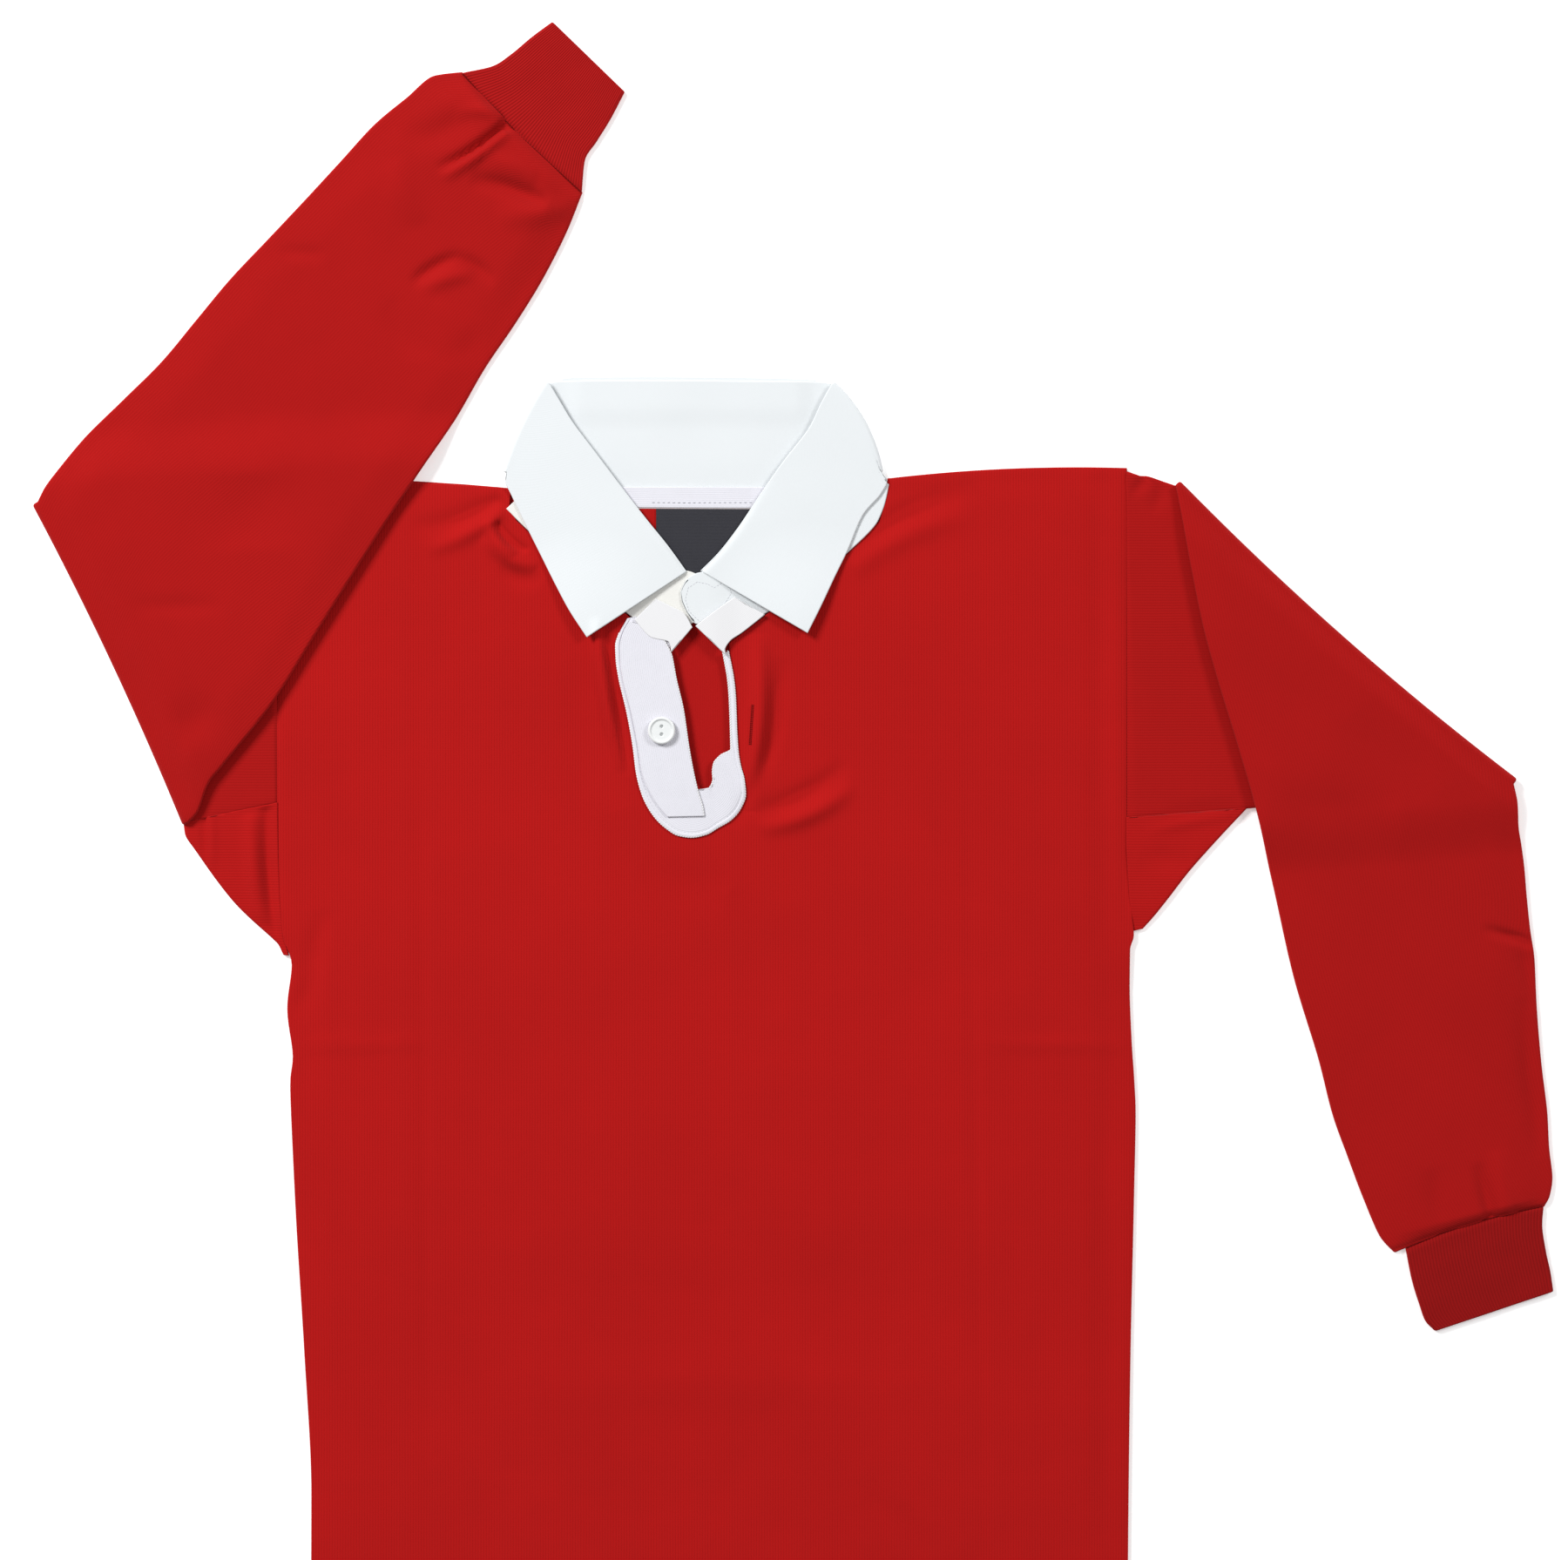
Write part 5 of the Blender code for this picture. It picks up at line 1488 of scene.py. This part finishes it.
class SHIRT_OT_button(bpy.types.Operator):
    """Builds the button: a turned disc with a raised rim and two thread holes"""

    bl_idname = "shirt.button"
    bl_label = "Button"

    # Across and up, in shares of radius and thickness, from the underside's centre to the top's.
    PROFILE = (
        (0.0, 0.0), (0.5, 0.0), (0.82, 0.02), (0.94, 0.18), (1.0, 0.45), (0.99, 0.7), (0.95, 0.9),
        (0.89, 0.99), (0.83, 0.98), (0.78, 0.86), (0.74, 0.74), (0.68, 0.70), (0.0, 0.68),
    )

    def execute(self, context):
        cloth = context.scene.shirt_cloth
        profile = np.array(self.PROFILE) * [BUTTON_RADIUS, BUTTON_THICKNESS]
        line = straight(profile, row_numbers(steps(profile), 0.25))
        turn = np.linspace(0.0, 2 * math.pi, 97)[:-1]
        x, y = line[1:-1, 0:1] * np.cos(turn)[None], line[1:-1, 0:1] * np.sin(turn)[None]
        z = line[1:-1, 1:2] + 0 * x
        on_top = np.arange(len(z))[:, None] > len(z) // 2
        for sign in (-1, 1):
            away = np.hypot(x, y - sign * BUTTON_HOLE_OFFSET)
            z -= on_top * (1 - smooth((away - BUTTON_HOLE_RADIUS) / 0.3)) * 1.7
        place = np.array(BUTTON_CENTRE)
        base = float(band_height(*place, cloth)) + TAPE / 2 + GAP
        ring = np.stack([x + place[0], y + place[1], z + base], -1)
        centres = np.array([[*place, base + profile[0, 1]], [*place, base + profile[-1, 1]]])
        self.turned(ring, centres)
        return {"FINISHED"}

    def turned(self, ring, centres):
        """The turned surface, with fans of triangles to its two centres."""
        rows, columns = ring.shape[:2]
        points = np.concatenate([ring.reshape(-1, 3), centres])
        first = np.arange(columns)
        last = first + (rows - 1) * columns
        low, high = first * 0 + rows * columns, first * 0 + rows * columns + 1
        below = np.stack([first, low, np.roll(first, -1)], 1)
        above = np.stack([np.roll(last, -1), high, last], 1)
        mesh = bpy.data.meshes.new("moulded_button")
        faces = [*quads(rows, columns, closed=True).tolist(), *below.tolist(), *above.tolist()]
        mesh.from_pydata((points * MM).tolist(), [], faces)
        mesh.shade_smooth()
        mesh.materials.append(material("button"))
        settle(add_object("moulded_button", mesh), "white_button", "button")


def along_line(line, spacing):
    """Points this far apart along a line, and the line's direction there."""
    line = np.array(line)
    travel = travelled(line)
    at = np.arange(spacing / 2, travel[-1], spacing)

    def point(distance):
        """The line's points at these distances along it."""
        return np.stack([np.interp(distance, travel, line[:, k]) for k in (0, 1)], 1)

    return point(at), unit(point(at + 0.05) - point(at - 0.05))


def stitch_row(line, height, pitch, length, width, slant=0.0):
    """Stitches along a line: for each, a small closed bead whose section is a circle that grows
    and shrinks along it as a sine. Gives points and faces."""
    points, way = along_line(line, pitch)
    angle = math.radians(slant)
    turned = np.array([[math.cos(angle), math.sin(angle)], [-math.sin(angle), math.cos(angle)]])
    way = way @ turned
    side = left_of(way)
    s = np.linspace(0.04, 0.96, 6)
    turn = np.linspace(0, 2 * math.pi, 7)[:-1]
    swell = np.sin(math.pi * s)[:, None] ** 0.6 * width / 2
    forward = way[:, None, None] * ((s - 0.5) * length)[None, :, None, None]
    sideways = side[:, None, None] * (swell * np.cos(turn)[None])[None, ..., None]
    up = height(*xy(points))[:, None, None] + (swell * np.sin(turn)[None])[None] * 0.8
    grid = np.concatenate([points[:, None, None] + forward + sideways, up[..., None]], -1)
    caps = np.array([[0, 1, 2, 3], [0, 3, 4, 5]])
    sides = quads(len(s), len(turn), closed=True)[:, ::-1]
    one = np.concatenate([sides, caps, caps[:, ::-1] + (len(s) - 1) * len(turn)])
    starts = np.arange(len(grid)) * len(s) * len(turn)
    return grid.reshape(-1, 3), (one[None] + starts[:, None, None]).reshape(-1, 4)


def beads_piece(name, rows_of_stitches, finish):
    """One piece of many beads."""
    starts = np.cumsum([0] + [len(points) for points, _ in rows_of_stitches])
    points = np.concatenate([points for points, _ in rows_of_stitches])
    faces = np.concatenate([faces + start for (_, faces), start in zip(rows_of_stitches, starts)])
    return new_piece(name, points, faces, points[faces][..., :2], [finish])


def inset_line(table, distance):
    """A line this far inside the outer edge of a table of spans."""
    table = np.array(table)
    at = row_numbers(table_lengths(table), 1.0)
    outer, inner = flowing(table[:, 0:2], at), flowing(table[:, 2:4], at)
    return outer + unit(inner - outer) * distance


def reversed_spans(table):
    """The same spans from their inner to their outer edge."""
    return tuple(Span(s.x1, s.y1, s.x0, s.y0) for s in table)


STAND_END_LINE = (
    (-8.0, 224.5), (-14.5, 231.0), (-17.0, 239.0), (-15.0, 246.5), (-9.0, 250.5), (-2.0, 249.0),
    (2.0, 246.5), (7.0, 249.5), (12.0, 248.5), (13.5, 243.0), (8.0, 234.0), (-2.0, 226.5),
    (-8.0, 223.5),
)
BUTTONHOLE = ((28.1, 168.8), (26.3, 142.1))
# A stitch's distance from the next, its length, its width and its slant, if it has one.
STAND_STITCH = (2.2, 1.8, 0.3)
FACING_STITCH = (2.4, 1.9, 0.4)
BUTTONHOLE_STITCH = (1.0, 1.5, 0.8, 80.0)
SEAM_SHADE_BEAD = (1.9, 2.4, 0.8)
TAPE_STITCH_LINE = ((-40.0, 303.6), (-14.0, 303.4), (27.0, 303.6), (62.0, 305.2))


# Seam grooves along which dark red beads are laid as a painted shade line, and how high each line
# lies.
SEAM_SHADE_LINES = (
    (((-165.5, 589.2), (-147.0, 568.5), (-128.0, 548.5), (-107.0, 529.0), (-86.5, 510.2)), 3.2),
    (((463.0, -193.0), (485.0, -183.8), (508.0, -176.2), (531.0, -170.2), (554.5, -165.2)), 3.2),
    (((276.9, 325.0), (276.9, 77.0), (279.2, 40.0), (281.5, 19.0)), 2.7),
    (((-288.8, 103.0), (-288.2, 70.0), (-286.9, 36.5), (-284.4, 13.9), (-281.5, 3.0)), 2.7),
    (((-289.0, 103.3), (-318.0, 97.2), (-338.0, 92.6)), 2.9),
    (((277.0, 93.5), (318.0, 96.7), (357.0, 99.9)), 2.9),
)


class SHIRT_OT_stitching(bpy.types.Operator):
    """Builds the visible stitches: on the neck tape, stand, placket and buttonhole, and dark red
    beads along the seams as painted shade lines
    """

    bl_idname = "shirt.stitching"
    bl_label = "Stitching"

    def execute(self, context):
        cloth = context.scene.shirt_cloth
        pitch, picot = cloth.stitch / MM, cloth.picot / MM

        # How high each row lies: on its cloth's face, or at the middle of its edge.
        def on_tape(x, y):
            return x * 0 + WALL + GAP + TAPE + 0.1

        def on_stand(x, y):
            return LAYER + lap(x) + 0.05

        def on_facing(x, y):
            return facing_height(x, y, STITCH_INSET + 0 * x, cloth) + TAPE / 2

        def at_facing_edge(x, y):
            return facing_height(x, y, 0.4 + 0 * x, cloth)

        def at_band_edge(x, y):
            return band_height(x, y, cloth)

        def on_front(x, y):
            return front_height(x, y, cloth) + WALL / 2 + 0.2

        loop = (picot, picot * 1.5, 1.25)
        white = [
            stitch_row(TAPE_STITCH_LINE, on_tape, pitch, pitch * 0.55, 0.8),
            stitch_row(STAND_END_LINE, on_stand, *STAND_STITCH),
            stitch_row(inset_line(FACING[1:19], STITCH_INSET), on_facing, *FACING_STITCH),
        ]
        settle(beads_piece("stitching_white", white, material("white thread")), "white_twill")

        band, strip = (inset_line(reversed_spans(table), 0.0) for table in (BAND, FACING[14:]))
        edges = [
            stitch_row(inset_line(FACING[1:], 0.1), at_facing_edge, *loop, 20.0),
            stitch_row(band, at_band_edge, *loop, -20.0),
            stitch_row(strip, at_facing_edge, *loop, -20.0),
        ]
        settle(beads_piece("placket_picot", edges, material("tab")), "white_twill")

        centre = np.array(BUTTONHOLE)
        run = unit(centre[1] - centre[0])
        across = -left_of(run)
        red = [stitch_row(centre + across * k, on_front, *BUTTONHOLE_STITCH) for k in (-0.5, 0.5)]
        # Dark red beads along the seam grooves: a painted shade line.
        for line, height in SEAM_SHADE_LINES:
            red.append(stitch_row(line, lambda x, y: height + 0 * x, *SEAM_SHADE_BEAD))
        settle(beads_piece("stitching_red_and_seam_shade", red, material("red thread")), "red_knit")
        return {"FINISHED"}


# ---- stage ----


class SHIRT_OT_stage(bpy.types.Operator):
    """Makes the table, the lamps and the camera over it"""

    bl_idname = "shirt.stage"
    bl_label = "Stage"

    # Where each lamp stands, in metres from the middle of the view, and its size.
    KEY_PLACE = (-2.8, 2.35, 2.85)
    SECOND_PLACE = (3.9, 2.6, 3.5)
    LAMP_SIZE = 1.4

    def execute(self, context):
        stage = context.scene.shirt_stage
        self.floor(stage)
        self.lamp("key", self.KEY_PLACE, stage.key_power, stage.centre)
        self.lamp("second", self.SECOND_PLACE, stage.second_power, stage.centre)
        world = bpy.data.worlds.new("studio")
        world.use_nodes = True
        background = world.node_tree.nodes["Background"]
        background.inputs["Color"].default_value = (1.0, 1.0, 1.0, 1.0)
        background.inputs["Strength"].default_value = stage.sky
        context.scene.world = world
        context.scene.view_settings.view_transform = "Standard"
        camera = add_object("camera", bpy.data.cameras.new("camera"))
        camera.data.sensor_width = 36.0
        camera.data.lens = 36.0 * (stage.camera_height - LAYER * MM) / stage.view_width
        camera.data.clip_end = 60.0
        camera.location = (*stage.centre, stage.camera_height)
        context.scene.camera = camera
        return {"FINISHED"}

    def floor(self, stage):
        """A square sheet, just under the shirt."""
        side, drop = 14.0, 0.00015
        mesh = bpy.data.meshes.new("table_top")
        corners = [
            (x * side, y * side, -drop) for x, y in ((-1, -1), (1, -1), (1, 1), (-1, 1))
        ]
        mesh.from_pydata(corners, [], [(0, 1, 2, 3)])
        mesh.materials.append(floor_finish("table_white", stage.floor_glow))
        add_object("table_top", mesh)

    def lamp(self, name, place, power, centre):
        """A square lamp that points at the middle of the view."""
        data = bpy.data.lights.new(name, "AREA")
        data.energy, data.size = power, self.LAMP_SIZE
        lamp = add_object(name, data)
        x, y, z = place
        lamp.location = (centre[0] + x, centre[1] + y, z)
        lamp.rotation_euler = (math.atan2(math.hypot(x, y), z), 0.0, math.atan2(x, -y))


class SHIRT_PT_panel(bpy.types.Panel):
    """Lists the shirt's pieces"""

    bl_idname = "SHIRT_PT_panel"
    bl_label = "Rugby shirt"
    bl_space_type = "VIEW_3D"
    bl_region_type = "UI"
    bl_category = "Shirt"

    def draw(self, context):
        for name, group in GROUPS.items():
            box = self.layout.box()
            for setting in group.__annotations__:
                box.prop(getattr(context.scene, name), setting)
        for operator in OPERATORS:
            self.layout.operator(operator.bl_idname)


OPERATORS = (
    SHIRT_OT_back, SHIRT_OT_front, SHIRT_OT_gussets, SHIRT_OT_sleeves, SHIRT_OT_cuffs,
    SHIRT_OT_collar, SHIRT_OT_stands, SHIRT_OT_neck_tape, SHIRT_OT_placket, SHIRT_OT_tabs,
    SHIRT_OT_button, SHIRT_OT_stitching, SHIRT_OT_stage,
)
GROUPS = {"shirt_cloth": ShirtCloth, "shirt_colours": ShirtColours, "shirt_stage": ShirtStage}


def register():
    """Makes the classes and the scene's settings known."""
    for kind in (*GROUPS.values(), *OPERATORS, SHIRT_PT_panel):
        bpy.utils.register_class(kind)
    for name, group in GROUPS.items():
        setattr(bpy.types.Scene, name, bpy.props.PointerProperty(type=group))


def unregister():
    """Takes them away again."""
    for name in GROUPS:
        delattr(bpy.types.Scene, name)
    for kind in (SHIRT_PT_panel, *reversed(OPERATORS), *reversed(GROUPS.values())):
        bpy.utils.unregister_class(kind)


def main():
    """Builds the shirt piece by piece."""
    register()
    for operator in OPERATORS:
        getattr(bpy.ops.shirt, operator.bl_idname.split(".")[1])()


if __name__ == "__main__":
    main()
